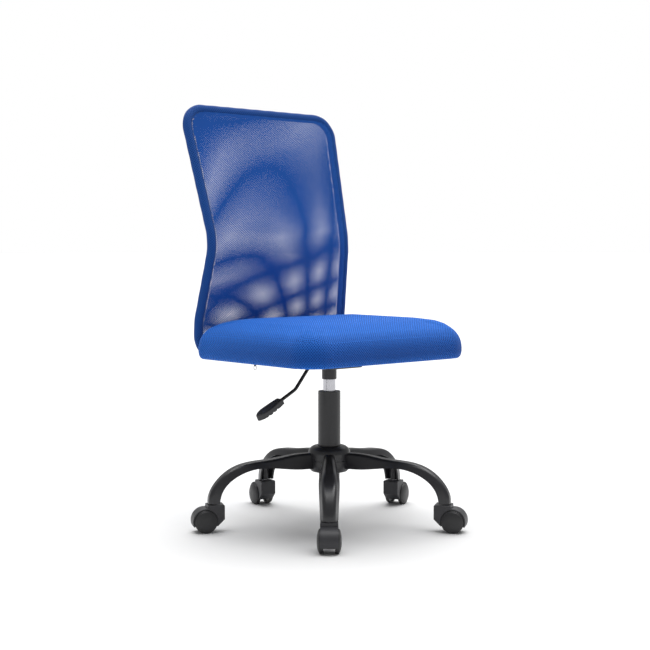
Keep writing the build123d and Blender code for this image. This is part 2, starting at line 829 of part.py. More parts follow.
with BuildPart() as tee_nuts:
    with BuildSketch(Plane.XY.offset(board_top)):
        with Locations(*board_bolts):
            Circle(nut_flange)
    extrude(amount=-nut_flange_thickness)
    with BuildSketch(Plane.XY.offset(board_top)):
        with Locations(*board_bolts):
            Circle(nut_barrel)
    extrude(amount=-9.0)
    with BuildSketch(Plane.XY.offset(board_top)):
        with Locations(*board_bolts):
            Circle(bolt_radius)
    extrude(amount=-9.0, mode=Mode.SUBTRACT)
keep(tee_nuts.part, "tee_nuts")

with BuildPart() as seat_bolts:
    with BuildSketch(Plane.XY.offset(flange_bottom)):
        with Locations(*board_bolts):
            Circle(bolt_radius)
    extrude(amount=board_top - 1.0 - flange_bottom)
    with BuildSketch(Plane.XY.offset(flange_bottom)):
        with Locations(*board_bolts):
            RegularPolygon(bolt_head_radius, 6)
    extrude(amount=-bolt_head_height)
keep(seat_bolts.part, "seat_bolts")

# ---------------------------------------------------------------- back
foot = back_foot_z
back_profile = [  # half width, Y and Z of each corner of the loop, bottom to top
    (back_foot_half, back_foot_y, foot),
    (back_foot_half, back_foot_y, foot + back_foot_rise),
    (back_waist_half, back_waist_y, foot + back_waist_rise),
    (back_top_half, back_top_y, foot + back_height),
]
back_radii = [42.0, 120.0, 140.0, 46.0]


def loop_tube(radius, bore=0.0):
    """A rod or tube along the back's loop, closed left to right."""
    with BuildPart() as half:
        with BuildLine() as half_line:
            FilletPolyline(
                (0, back_foot_y, foot),
                *back_profile,
                (0, back_top_y, foot + back_height),
                radius=back_radii,
            )
        with BuildSketch(Plane(half_line.line @ 0, z_dir=half_line.line % 0)):
            Circle(radius)
            if bore:
                Circle(bore, mode=Mode.SUBTRACT)
        sweep()
        mirror(about=Plane.YZ)
    return half.part


keep(loop_tube(back_tube_radius, back_tube_radius - back_tube_wall), "back_frame")

bracket_rear = back_foot_y - back_tube_radius + 1.5  # just into the tube's curve, where it is welded
with BuildPart() as back_bracket:
    with BuildSketch(Plane.XY.offset(bracket_top)):
        with Locations((0, bracket_front)):
            Rectangle(bracket_width, bracket_rear - bracket_front, align=(Align.CENTER, Align.MIN))
    extrude(amount=-plate_thickness - bracket_flange)
    with BuildSketch(Plane.XY.offset(bracket_top - plate_thickness)):
        with Locations((0, bracket_front)):
            Rectangle(
                bracket_width - 2 * plate_thickness,
                bracket_rear - bracket_front,
                align=(Align.CENTER, Align.MIN),
            )
    extrude(amount=-bracket_flange, mode=Mode.SUBTRACT)
    with BuildSketch(Plane.YZ.offset(-bracket_width)):
        with Locations((back_foot_y, foot)):
            Circle(back_tube_radius)
    extrude(amount=2 * bracket_width, mode=Mode.SUBTRACT)
    with BuildSketch(Plane.XY.offset(bracket_top)):
        with Locations(*bracket_bolts):
            Circle(bolt_radius + 0.3)
    extrude(amount=-plate_thickness, mode=Mode.SUBTRACT)
keep(back_bracket.part, "back_bracket")

with BuildPart() as sleeve_edge:
    add(loop_tube(sleeve_radius, back_tube_radius))
    # opening where the bracket reaches the tube
    with Locations((0, back_foot_y, bracket_bottom - 1)):
        Box(
            bracket_width + 2,
            2 * sleeve_radius,
            bracket_top + 1 - bracket_bottom + 1,
            align=(Align.CENTER, Align.MAX, Align.MIN),
            mode=Mode.SUBTRACT,
        )
keep(sleeve_edge.part, "sleeve_edge")

sleeve_rod = loop_tube(sleeve_radius)
outline_corners = [(half, height) for half, _, height in back_profile]
with BuildPart() as net_layers:
    with BuildSketch(Plane.YZ) as net_section:
        with BuildLine():
            centre_line = FilletPolyline(*[(y, z) for _, y, z in back_profile], radius=back_radii[1:3])
            offset(centre_line, sleeve_radius, side=Side.BOTH, mode=Mode.REPLACE)
        make_face()
        with BuildLine(mode=Mode.PRIVATE) as inner_line:
            offset(centre_line, back_tube_radius, side=Side.BOTH, mode=Mode.REPLACE)
        add(make_face(inner_line.edges(), mode=Mode.PRIVATE), mode=Mode.SUBTRACT)
    extrude(amount=back_top_half, both=True)
    with BuildSketch(Plane.XZ) as outline:
        with BuildLine():
            FilletPolyline(
                *outline_corners,
                *[(-half, height) for half, height in reversed(outline_corners)],
                radius=back_radii + back_radii[::-1],
                close=True,
            )
        make_face()
        offset(amount=-sleeve_seam, mode=Mode.REPLACE)
    extrude(amount=-2 * back_top_y, mode=Mode.INTERSECT)
    add(sleeve_rod, mode=Mode.SUBTRACT)

front_net, rear_net = net_layers.solids().sort_by(Axis.Y)
keep(front_net, "sleeve_front")
keep(rear_net, "sleeve_rear")

# ---------------------------------------------------------------- zip along the sleeve's lower edge
zip_y = back_foot_y
zip_roof = back_foot_z - sleeve_radius
teeth_top = zip_roof - 1.2
teeth_bottom = teeth_top - 1.6
teeth_half = 3.0
with BuildPart() as zip_chain:
    with BuildSketch(Plane.YZ.offset(zip_start)):
        with Locations((zip_y, teeth_top)):
            Rectangle(2, zip_roof - teeth_top, align=(Align.CENTER, Align.MIN))
            Rectangle(2 * teeth_half, teeth_top - teeth_bottom, align=(Align.CENTER, Align.MAX))
    extrude(amount=zip_end - zip_start)
keep(zip_chain.part, "zip_chain")

slider_half = teeth_half + 1.8
slider_top = teeth_top + 0.9
slider_bottom = teeth_bottom - 1.4
ear_drop = 3.2
pull_pin_z = slider_bottom - 1.9
with BuildPart() as zip_slider:
    with BuildSketch(Plane.YZ.offset(zip_slider_x)):
        with Locations((zip_y, slider_bottom)):
            Rectangle(2 * slider_half, slider_top - slider_bottom, align=(Align.CENTER, Align.MIN))
        with Locations((zip_y, teeth_bottom - 0.3)):
            Rectangle(
                2 * teeth_half + 0.8,
                teeth_top - teeth_bottom + 0.6,
                align=(Align.CENTER, Align.MIN),
                mode=Mode.SUBTRACT,
            )
            Rectangle(3.4, 6, align=(Align.CENTER, Align.MIN), mode=Mode.SUBTRACT)
    extrude(amount=zip_slider_length / 2, both=True)
    with Locations((zip_slider_x - 2.4, zip_y, slider_bottom), (zip_slider_x + 2.4, zip_y, slider_bottom)):
        Box(0.8, 2.6, ear_drop, align=(Align.CENTER, Align.CENTER, Align.MAX))
    with BuildSketch(Plane.YZ.offset(zip_slider_x)):
        with Locations((zip_y, pull_pin_z)):
            Circle(0.6)
    extrude(amount=2.6, both=True)
keep(zip_slider.part, "zip_slider")

pull_length = 19.0
pull_foot = pull_pin_z - pull_length
with BuildPart() as zip_pull:
    with BuildSketch(Plane.YZ.offset(zip_slider_x)):
        with Locations((zip_y, pull_pin_z)):
            Circle(1.3)
    extrude(amount=1.6, both=True)
    with BuildSketch(Plane.XZ.offset(-zip_y)):
        with Locations((zip_slider_x, pull_pin_z)):
            Rectangle(3.2, 3.0, align=(Align.CENTER, Align.MAX))
        with Locations((zip_slider_x, pull_pin_z - 3.0)):
            Rectangle(5.6, pull_length - 3.0, align=(Align.CENTER, Align.MAX))
    extrude(amount=0.7, both=True)
    with BuildSketch(Plane.YZ.offset(zip_slider_x)):
        with Locations((zip_y, pull_pin_z)):
            Circle(0.75)
    extrude(amount=4, both=True, mode=Mode.SUBTRACT)
    with BuildSketch(Plane.XZ.offset(-zip_y)):
        with Locations((zip_slider_x, pull_foot + 2.2)):
            Circle(1.2)
    extrude(amount=2, both=True, mode=Mode.SUBTRACT)
keep(zip_pull.part, "zip_pull")

ring_radius = 5.0
ring_wire = 0.7
ring_top = pull_foot + 1.75
with BuildPart() as pull_ring:
    with BuildSketch(Plane.XZ.offset(-zip_y)):
        with Locations((zip_slider_x, ring_top)):
            Circle(ring_wire)
    revolve(axis=Axis((zip_slider_x, zip_y, ring_top - ring_radius), (1, 0, 0)))
keep(pull_ring.part, "zip_pull_ring")
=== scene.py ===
"""
Swivel office chair: its upholstery, trims and finishes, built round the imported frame.

Metres, +Z up, floor at Z = 0, column on the Z axis. The sitter faces -Y, with the height lever by the
right hand, on the -X side.
"""
from __future__ import annotations

import json
import logging
import math
from dataclasses import dataclass, field
from enum import Enum
from typing import Callable, Iterable, Sequence, Union

import bpy
import numpy as np
from mathutils import Matrix, Vector
from mathutils.bvhtree import BVHTree

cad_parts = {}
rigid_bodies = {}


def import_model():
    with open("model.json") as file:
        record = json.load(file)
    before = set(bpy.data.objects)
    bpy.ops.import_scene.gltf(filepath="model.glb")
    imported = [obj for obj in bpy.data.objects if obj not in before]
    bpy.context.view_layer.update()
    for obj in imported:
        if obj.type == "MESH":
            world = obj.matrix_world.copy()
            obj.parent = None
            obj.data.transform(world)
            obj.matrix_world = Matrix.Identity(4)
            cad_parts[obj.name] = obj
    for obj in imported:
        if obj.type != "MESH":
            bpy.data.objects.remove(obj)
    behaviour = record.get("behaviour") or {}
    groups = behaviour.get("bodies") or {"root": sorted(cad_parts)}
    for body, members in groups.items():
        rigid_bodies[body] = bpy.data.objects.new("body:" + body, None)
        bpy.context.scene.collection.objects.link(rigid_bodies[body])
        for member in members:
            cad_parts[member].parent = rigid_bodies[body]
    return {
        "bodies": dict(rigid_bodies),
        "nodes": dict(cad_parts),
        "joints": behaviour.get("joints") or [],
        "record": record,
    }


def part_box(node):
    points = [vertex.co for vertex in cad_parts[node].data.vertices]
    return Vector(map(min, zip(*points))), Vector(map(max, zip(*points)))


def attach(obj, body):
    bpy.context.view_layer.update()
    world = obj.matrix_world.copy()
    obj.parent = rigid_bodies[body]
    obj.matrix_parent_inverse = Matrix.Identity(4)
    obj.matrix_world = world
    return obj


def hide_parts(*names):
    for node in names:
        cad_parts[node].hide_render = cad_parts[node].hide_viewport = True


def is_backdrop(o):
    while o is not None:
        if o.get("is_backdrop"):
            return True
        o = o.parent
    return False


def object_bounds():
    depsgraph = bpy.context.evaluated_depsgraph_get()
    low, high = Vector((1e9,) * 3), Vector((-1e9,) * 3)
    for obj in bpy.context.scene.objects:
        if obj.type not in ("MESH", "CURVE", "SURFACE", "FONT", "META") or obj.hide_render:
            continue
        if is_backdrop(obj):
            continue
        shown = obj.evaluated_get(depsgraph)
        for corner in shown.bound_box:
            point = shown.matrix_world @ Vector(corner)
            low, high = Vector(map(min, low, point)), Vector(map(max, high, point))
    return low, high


log = logging.getLogger("office_chair")

Colour = tuple[float, float, float]
Operand = Union["Wire", float]


# ---------------------------------------------------------------- node materials
class Wire:
    """A socket of a material, on which arithmetic adds Math nodes."""

    def __init__(self, recipe: "Recipe", socket: bpy.types.NodeSocket) -> None:
        """Keep the recipe and the socket that the value leaves from."""
        self.recipe = recipe
        self.socket = socket

    def _math(self, operation: str, *operands: Operand) -> "Wire":
        """Add one Math node that works on these operands."""
        return self.recipe.node("ShaderNodeMath", {"operation": operation}, dict(enumerate(operands)))

    def __add__(self, other: Operand) -> "Wire":
        """This plus another."""
        return self._math("ADD", self, other)

    def __radd__(self, other: Operand) -> "Wire":
        """Another plus this."""
        return self._math("ADD", other, self)

    def __sub__(self, other: Operand) -> "Wire":
        """This less another."""
        return self._math("SUBTRACT", self, other)

    def __mul__(self, other: Operand) -> "Wire":
        """This times another."""
        return self._math("MULTIPLY", self, other)

    def sine(self) -> "Wire":
        """The sine of this, in radians."""
        return self._math("SINE", self)

    def between(self, low: float, high: float) -> "Wire":
        """A smooth step, from 0 where this is at most low to 1 where it is at least high."""
        settings = {"interpolation_type": "SMOOTHSTEP"}
        return self.recipe.node("ShaderNodeMapRange", settings, {0: self, 1: low, 2: high})


class Recipe:
    """One material: a Principled shader and the nodes that feed it."""

    def __init__(self, name: str, colour: Colour, **shader: float) -> None:
        """Start a material.

        Args:
            name: The material's name.
            colour: The base colour, where nothing else feeds it.
            **shader: Constant values of the shader's own sockets, with _ for a space.
        """
        self.material = bpy.data.materials.new(name)
        self.material.use_nodes = True
        self.tree = self.material.node_tree
        self.shader = next(n for n in self.tree.nodes if n.type == "BSDF_PRINCIPLED")
        self.shader.inputs["Base Color"].default_value = (*colour, 1.0)
        for socket, value in shader.items():
            self.shader.inputs[socket.replace("_", " ")].default_value = value

    def node(
        self,
        kind: str,
        settings: dict[str, object] | None = None,
        inputs: dict[int | str, object] | None = None,
        output: int | str = 0,
    ) -> Wire:
        """Add a node.

        Args:
            kind: The node's type.
            settings: Its properties, set before its inputs.
            inputs: Values or wires, by socket name or number.
            output: The socket that the result leaves from.

        Returns:
            The wire of that output.
        """
        made = self.tree.nodes.new(kind)
        for key, value in (settings or {}).items():
            setattr(made, key, value)
        for key, value in (inputs or {}).items():
            if isinstance(value, Wire):
                self.tree.links.new(value.socket, made.inputs[key])
            else:
                made.inputs[key].default_value = value
        return Wire(self, made.outputs[output])

    def feed(self, **sockets: Wire) -> bpy.types.Material:
        """Link wires to the shader's sockets, with _ for a space, and return the material."""
        for socket, wire in sockets.items():
            self.tree.links.new(wire.socket, self.shader.inputs[socket.replace("_", " ")])
        return self.material

    def place(self) -> Wire:
        """The point on the piece, in metres."""
        return self.node("ShaderNodeTexCoord", output="Object")

    def axis(self, vector: Wire, name: str) -> Wire:
        """One of a vector's X, Y and Z."""
        return self.node("ShaderNodeSeparateXYZ", inputs={0: vector}, output=name)

    def uv(self, layer: str) -> tuple[Wire, Wire]:
        """The two coordinates of the piece's own map, in metres of cloth."""
        flat = self.node("ShaderNodeUVMap", {"uv_map": layer})
        return self.axis(flat, "X"), self.axis(flat, "Y")

    def noise(self, size: float, detail: float = 2.0, roughness: float = 0.5) -> Wire:
        """Cloudy noise from 0 to 1, with blots of about this size in metres."""
        inputs = {"Vector": self.place(), "Scale": 1.0 / size, "Detail": detail, "Roughness": roughness}
        return self.node("ShaderNodeTexNoise", {"noise_dimensions": "3D"}, inputs)

    def mix(self, share: Operand, first: Colour | Wire, second: Colour | Wire) -> Wire:
        """A colour that goes from the first to the second as the share goes from 0 to 1."""
        ends = {6: first, 7: second}
        inputs = {k: v if isinstance(v, Wire) else (*v, 1.0) for k, v in ends.items()}
        return self.node("ShaderNodeMix", {"data_type": "RGBA"}, {0: share, **inputs}, output=2)

    def relief(self, height: Wire, depth: float, strength: float = 1.0) -> Wire:
        """A surface direction that stands for a relief of this depth in metres."""
        return self.node("ShaderNodeBump", inputs={"Height": height, "Distance": depth, "Strength": strength})


@dataclass(frozen=True)
class MouldedPlastic:
    """Nylon or another plastic out of a satin mould, lightly scuffed."""

    name: str
    colour: Colour
    roughness: float = 0.42
    grain: float = 0.0009  # size of the mould's texture
    grain_depth: float = 0.00006

    def material(self) -> bpy.types.Material:
        """Make the finish."""
        recipe = Recipe(self.name, self.colour, Specular_IOR_Level=0.5)
        cloud = recipe.noise(0.035, 3.0)
        scuff = recipe.noise(0.006, 5.0, 0.65).between(0.52, 0.78)
        paler = tuple(1.5 * c + 0.008 for c in self.colour)
        return recipe.feed(
            Base_Color=recipe.mix(cloud * 0.5 + scuff * 0.3, self.colour, paler),
            Roughness=self.roughness - 0.06 + cloud * 0.12 + scuff * 0.08,
            Normal=recipe.relief(recipe.noise(self.grain, 1.0), self.grain_depth),
        )


@dataclass(frozen=True)
class PowderCoat:
    """Black powder coat on steel, with its fine orange peel."""

    name: str
    colour: Colour
    roughness: float = 0.38

    def material(self) -> bpy.types.Material:
        """Make the finish."""
        recipe = Recipe(self.name, self.colour)
        cloud = recipe.noise(0.05, 2.0)
        peel = recipe.noise(0.0016, 2.0)
        return recipe.feed(
            Base_Color=recipe.mix(cloud, self.colour, tuple(1.25 * c + 0.004 for c in self.colour)),
            Roughness=self.roughness - 0.05 + cloud * 0.1,
            Normal=recipe.relief(peel, 0.00005),
        )


@dataclass(frozen=True)
class BareMetal:
    """Plated or ground metal, with turning marks round the Z axis where they are asked for."""

    name: str
    colour: Colour
    roughness: float = 0.25
    turning: float = 0.0  # pitch of the turning marks

    def material(self) -> bpy.types.Material:
        """Make the finish."""
        recipe = Recipe(self.name, self.colour, Metallic=1.0)
        smear = recipe.noise(0.012, 4.0)
        wear = smear * 0.14
        normal = recipe.relief(recipe.noise(0.0007, 2.0), 0.00001)
        if self.turning:
            height = recipe.axis(recipe.place(), "Z")
            ring = (height * (2 * math.pi / self.turning) + smear * 2.0).sine()
            wear = wear + ring * 0.04
            normal = recipe.relief(ring, 0.00001)
        return recipe.feed(
            Base_Color=recipe.mix(smear, self.colour, tuple(0.8 * c for c in self.colour)),
            Roughness=self.roughness - 0.07 + wear,
            Normal=normal,
        )


@dataclass(frozen=True)
class MouldedRubber:
    """Matte rubber with a dusty bloom."""

    name: str
    colour: Colour

    def material(self) -> bpy.types.Material:
        """Make the finish."""
        recipe = Recipe(self.name, self.colour, Specular_IOR_Level=0.3)
        bloom = recipe.noise(0.008, 4.0)
        return recipe.feed(
            Base_Color=recipe.mix(bloom, self.colour, tuple(2.2 * c for c in self.colour)),
            Roughness=0.72 + bloom * 0.15,
            Normal=recipe.relief(recipe.noise(0.0012), 0.00008),
        )


@dataclass(frozen=True)
class Plywood:
    """Sawn plywood: long grain on its faces and thin plies through its thickness."""

    name: str
    pale: Colour = (0.50, 0.36, 0.21)
    dark: Colour = (0.24, 0.14, 0.07)
    ply: float = 0.0024

    def material(self) -> bpy.types.Material:
        """Make the finish."""
        recipe = Recipe(self.name, self.pale)
        stretched = recipe.node(
            "ShaderNodeMapping", {"vector_type": "POINT"}, {0: recipe.place(), 3: (14.0, 1.5, 14.0)}
        )
        grain = recipe.node("ShaderNodeTexNoise", inputs={"Vector": stretched, "Scale": 12.0, "Detail": 5.0})
        plies = (recipe.axis(recipe.place(), "Z") * (2 * math.pi / self.ply)).sine() * 0.5 + 0.5
        return recipe.feed(
            Base_Color=recipe.mix(grain.between(0.35, 0.75) * 0.6 + plies * 0.3, self.pale, self.dark),
            Roughness=0.62 + grain * 0.2,
            Normal=recipe.relief(grain, 0.0002),
        )


@dataclass(frozen=True)
class DustCloth:
    """Black non-woven cloth with its grid of bonded points."""

    name: str
    colour: Colour = (0.012, 0.012, 0.013)
    pitch: float = 0.003

    def material(self) -> bpy.types.Material:
        """Make the finish."""
        recipe = Recipe(self.name, self.colour, Sheen_Weight=0.2)
        place = recipe.place()
        turns = 2 * math.pi / self.pitch
        bonds = (recipe.axis(place, "X") * turns).sine() * (recipe.axis(place, "Y") * turns).sine()
        fibres = recipe.noise(0.0011, 4.0, 0.7)
        return recipe.feed(
            Base_Color=recipe.mix(fibres * 0.7 + bonds * 0.2, self.colour, (0.045, 0.045, 0.048)),
            Roughness=0.8 + fibres * 0.12,
            Normal=recipe.relief(bonds * 0.5 + fibres, 0.0003),
        )


@dataclass(frozen=True)
class SpacerMesh:
    """Knitted cloth whose face has staggered rows of small dark holes, mapped in metres."""

    name: str
    yarn: Colour
    hole: Colour
    across: float  # pitch of the holes along a row
    along: float  # pitch of the rows
    depth: float = 0.0006
    open_from: float = 0.1  # height of the stitch at which a hole starts
    open_to: float = 0.6
    drift: float = 0.5  # how far the rows wander, in turns of their pattern
    opened: float = 0.0  # how far the yarn is darkened towards the hole colour, as painted shade, where the piece's painted shade is full

    def material(self) -> bpy.types.Material:
        """Make the finish."""
        recipe = Recipe(self.name, self.yarn, Sheen_Weight=0.05, Sheen_Roughness=0.5, Specular_IOR_Level=0.15)
        side, row = recipe.uv("cloth")
        wander = recipe.noise(0.11, 1.0) * (self.drift * 2 * math.pi)
        stitch = (side * (2 * math.pi / self.across) + wander).sine() * (
            row * (2 * math.pi / self.along) + wander
        ).sine()
        hole = stitch.between(self.open_from, self.open_to)
        fibre = recipe.noise(0.0008, 3.0, 0.6)
        dye = recipe.noise(0.09, 2.0)
        yarn = recipe.mix(dye * 0.5 + fibre * 0.5, self.yarn, tuple(0.72 * c for c in self.yarn))
        # Painted shade: where the piece carries a shade value, the yarn darkens towards the hole colour, most
        # on the cushion's steep sides and round its front.
        if self.opened:
            painted_shade = recipe.node("ShaderNodeAttribute", {"attribute_name": "painted_shade"}, output="Fac")
            yarn = recipe.mix(painted_shade * self.opened, yarn, self.hole)
        return recipe.feed(
            Base_Color=recipe.mix(hole, yarn, self.hole),
            Roughness=0.62 + fibre * 0.15 + hole * 0.15,
            Normal=recipe.relief(fibre * 0.3 - stitch, self.depth),
        )


@dataclass(frozen=True)
class Yarn:
    """Bare yarn, for the nets, the thread and the zip's tape, mapped on the piece itself."""

    name: str
    colour: Colour
    roughness: float = 0.6
    fibre: float = 0.0007
    weave: float = 0.0  # pitch of a plain weave along X, where there is one
    sheen: float = 0.1

    def material(self) -> bpy.types.Material:
        """Make the finish."""
        recipe = Recipe(self.name, self.colour, Sheen_Weight=self.sheen, Specular_IOR_Level=0.2)
        fibre = recipe.noise(self.fibre, 3.0, 0.65)
        dye = recipe.noise(0.12, 2.0)
        height = fibre
        if self.weave:
            place = recipe.place()
            turns = 2 * math.pi / self.weave
            cross = (recipe.axis(place, "X") * turns).sine() * (recipe.axis(place, "Y") * turns).sine()
            height = cross * 0.5 + fibre * 0.5
        return recipe.feed(
            Base_Color=recipe.mix(height * 0.4 + dye * 0.4, self.colour, tuple(0.6 * c for c in self.colour)),
            Roughness=self.roughness + fibre * 0.2,
            Normal=recipe.relief(height, 0.00025),
        )


class Finish(Enum):
    """The chair's finishes, each under the name of its slot in the record, in capitals."""

    BASE_NYLON = MouldedPlastic("satin_nylon", (0.011, 0.011, 0.0135), 0.30)
    RING_STEEL = BareMetal("zinc_steel", (0.50, 0.50, 0.51), 0.36)
    BALL_STEEL = BareMetal("bearing_steel", (0.68, 0.68, 0.70), 0.14)
    BUSH_PLASTIC = MouldedPlastic("acetal", (0.014, 0.014, 0.015), 0.34)
    COLUMN_PAINT = PowderCoat("black_powder_coat", (0.009, 0.009, 0.0110), 0.36)
    CYLINDER_CHROME = BareMetal("ground_chrome", (0.50, 0.50, 0.53), 0.18, turning=0.0016)
    RUBBER = MouldedRubber("black_rubber", (0.012, 0.012, 0.012))
    LEVER_STEEL = PowderCoat("black_rod_coat", (0.010, 0.010, 0.011), 0.42)
    LEVER_PLASTIC = MouldedPlastic("lever_plastic", (0.026, 0.026, 0.029), 0.45)
    BOARD_PLY = Plywood("plywood")
    SEAT_MESH = SpacerMesh(
        "seat_spacer_mesh",
        (0.012, 0.175, 0.740),
        (0.001, 0.022, 0.150),
        across=0.0056,
        along=0.0060,
        # painted shade: how far the cushion's steep sides and front are darkened
        opened=0.62,
    )
    UNDER_CLOTH = DustCloth("dust_cloth")
    FRAME_STEEL = PowderCoat("black_frame_coat", (0.012, 0.012, 0.013), 0.40)
    BACK_MESH = Yarn("net_yarn", (0.008, 0.092, 0.430), sheen=0.0)
    ZIP_TAPE = Yarn("zip_tape_yarn", (0.008, 0.030, 0.140), weave=0.0012)
    ZIP_METAL = BareMetal("nickel", (0.34, 0.34, 0.36), 0.26)
    CASTER_PLASTIC = MouldedPlastic("caster_nylon", (0.020, 0.020, 0.0235), 0.46)
    WHEEL_PLASTIC = MouldedPlastic("wheel_nylon", (0.013, 0.013, 0.0145), 0.40)


SLEEVE_KNIT = SpacerMesh(
    "sleeve_knit",
    (0.011, 0.085, 0.360),
    (0.002, 0.018, 0.110),
    across=0.0058,
    along=0.0064,
    open_from=0.0,
    open_to=0.7,
)
SEWING_THREAD = Yarn("sewing_thread", (0.060, 0.180, 0.480), 0.5)


class Dresser:
    """Gives pieces and frame nodes their finishes, each made once."""

    def __init__(self) -> None:
        """Start with no finish made."""
        self.made: dict[str, bpy.types.Material] = {}

    def get(self, finish: object) -> bpy.types.Material:
        """The material of a finish, made the first time it is asked for."""
        if finish.name not in self.made:
            self.made[finish.name] = finish.material()
        return self.made[finish.name]

    def wear(self, piece: bpy.types.Object, finish: object) -> None:
        """Put one finish all over a piece."""
        piece.data.materials.clear()
        piece.data.materials.append(self.get(finish))

    def nodes(self, frame: dict) -> None:
        """Dress every node of the frame in the finish of its slot."""
        for part in frame["record"]["subparts"]:
            slot = part["material_slot"]
            if slot != "foam":
                self.wear(frame["nodes"][part["node"]], Finish[slot.upper()].value)


# ---------------------------------------------------------------- modelling helpers
def deselect() -> None:
    """Leave nothing selected, in object mode."""
    if bpy.context.object and bpy.context.object.mode != "OBJECT":
        bpy.ops.object.mode_set(mode="OBJECT")
    bpy.ops.object.select_all(action="DESELECT")


def activate(piece: bpy.types.Object) -> None:
    """Select one piece alone and make it the active one."""
    deselect()
    piece.select_set(True)
    bpy.context.view_layer.objects.active = piece


def named(name: str) -> bpy.types.Object:
    """Name the piece that an operator has just added, and its mesh, and return it."""
    piece = bpy.context.object
    piece.name = piece.data.name = name
    return piece


def mesh_piece(name: str, points: np.ndarray, faces: Sequence[Sequence[int]]) -> bpy.types.Object:
    """A mesh object made from its points and faces, linked to the scene."""
    mesh = bpy.data.meshes.new(name)
    mesh.from_pydata([tuple(p) for p in points], [], [tuple(f) for f in faces])
    mesh.update()
    piece = bpy.data.objects.new(name, mesh)
    bpy.context.scene.collection.objects.link(piece)
    return piece


def points_of(mesh: bpy.types.Mesh) -> np.ndarray:
    """The mesh's points, one row each."""
    flat = np.empty(3 * len(mesh.vertices), np.float32)
    mesh.vertices.foreach_get("co", flat)
    return flat.reshape(-1, 3).astype(float)


def put_points(mesh: bpy.types.Mesh, points: np.ndarray) -> None:
    """Move the mesh's points to these places."""
    mesh.vertices.foreach_set("co", points.astype(np.float32).ravel())
    mesh.update()


def select_faces(piece: bpy.types.Object, chosen: np.ndarray) -> None:
    """Open a piece in edit mode with the chosen faces selected and nothing else."""
    activate(piece)
    mesh = piece.data
    mesh.vertices.foreach_set("select", np.zeros(len(mesh.vertices), bool))
    mesh.edges.foreach_set("select", np.zeros(len(mesh.edges), bool))
    mesh.polygons.foreach_set("select", chosen.astype(bool))
    bpy.context.tool_settings.mesh_select_mode = (False, False, True)
    bpy.ops.object.mode_set(mode="EDIT")


def drop_faces(piece: bpy.types.Object, chosen: np.ndarray) -> None:
    """Delete the chosen faces and what only they held."""
    select_faces(piece, chosen)
    bpy.ops.mesh.delete(type="FACE")
    bpy.ops.object.mode_set(mode="OBJECT")


def face_out(piece: bpy.types.Object) -> None:
    """Turn every face of a closed piece outwards."""
    activate(piece)
    bpy.ops.object.mode_set(mode="EDIT")
    bpy.ops.mesh.select_all(action="SELECT")
    bpy.ops.mesh.remove_doubles(threshold=1e-6)
    bpy.ops.mesh.normals_make_consistent(inside=False)
    bpy.ops.object.mode_set(mode="OBJECT")


def flat_grid(name: str, cells: tuple[int, int], size: float = 1.0) -> bpy.types.Object:
    """A flat square grid round the origin, with this many cells along X and Y."""
    deselect()
    bpy.ops.mesh.primitive_grid_add(
        x_subdivisions=cells[0], y_subdivisions=cells[1], size=size, location=(0, 0, 0)
    )
    return named(name)


def bevelled_block(name: str, size: tuple[float, float, float], bevel: float) -> bpy.types.Object:
    """A block of this size round the origin, with its edges bevelled."""
    deselect()
    bpy.ops.mesh.primitive_cube_add(size=1.0, location=(0, 0, 0))
    piece = named(name)
    piece.data.transform(Matrix.Diagonal((*size, 1.0)))
    bpy.ops.object.mode_set(mode="EDIT")
    bpy.ops.mesh.select_all(action="SELECT")
    bpy.ops.mesh.bevel(offset=bevel, segments=1)
    bpy.ops.object.mode_set(mode="OBJECT")
    return piece


def repeat(name: str, pattern: bpy.types.Object, places: Iterable[Matrix]) -> bpy.types.Object:
    """Copy a modelled shape to many places and join the copies into one piece.

    Args:
        name: The finished piece's name.
        pattern: The shape, modelled round the origin; it is removed.
        places: Where each copy stands.

    Returns:
        The joined piece.
    """
    deselect()
    for place in places:
        copy = pattern.copy()
        copy.data = pattern.data.copy()
        copy.data.transform(place)
        bpy.context.scene.collection.objects.link(copy)
        copy.select_set(True)
        bpy.context.view_layer.objects.active = copy
    bpy.ops.object.join()
    bpy.data.objects.remove(pattern)
    return named(name)


def finish_piece(
    piece: bpy.types.Object, dresser: Dresser, slot: Finish, look: object | None = None, smooth: float = 40.0
) -> None:
    """Shade and dress a new piece, and let it ride on the seat.

    Args:
        piece: The piece.
        dresser: Holds the finishes.
        slot: The record's slot that it takes its finish from.
        look: What it is dressed in, where that isn't the slot's own finish.
        smooth: Edges sharper than this, in degrees, stay sharp.
    """
    activate(piece)
    bpy.ops.object.shade_smooth_by_angle(angle=math.radians(smooth))
    dresser.wear(piece, look or slot.value)
    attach(piece, "seat")
    log.info("%s: %d faces", piece.name, len(piece.data.polygons))


def rounded_path(corners: Sequence[Vector], radii: Sequence[float], step: float) -> list[Vector]:
    """A closed line of straight runs with round corners, as points about a step apart.

    Args:
        corners: The corners of the loop, in order.
        radii: The radius at each corner.
        step: The spacing of the points.

    Returns:
        The points, without a repeat of the first.
    """
    arcs = []
    for i, corner in enumerate(corners):
        back = (corners[i - 1] - corner).normalized()
        on = (corners[(i + 1) % len(corners)] - corner).normalized()
        half = back.angle(on) / 2
        cut = radii[i] / math.tan(half)
        centre = corner + (back + on).normalized() * (radii[i] / math.sin(half))
        arcs.append((corner + back * cut, corner + on * cut, centre, math.pi - 2 * half, radii[i]))
    points = []
    for i, (start, end, centre, turn, radius) in enumerate(arcs):
        from_centre, to_end = start - centre, end - centre
        count = max(2, round(radius * turn / step))
        for j in range(count):
            share = j / count
            weights = math.sin((1 - share) * turn) / math.sin(turn), math.sin(share * turn) / math.sin(turn)
            points.append(centre + from_centre * weights[0] + to_end * weights[1])
        run = arcs[(i + 1) % len(arcs)][0] - end
        count = max(1, round(run.length / step))
        points += [end + run * (j / count) for j in range(count)]
    return points


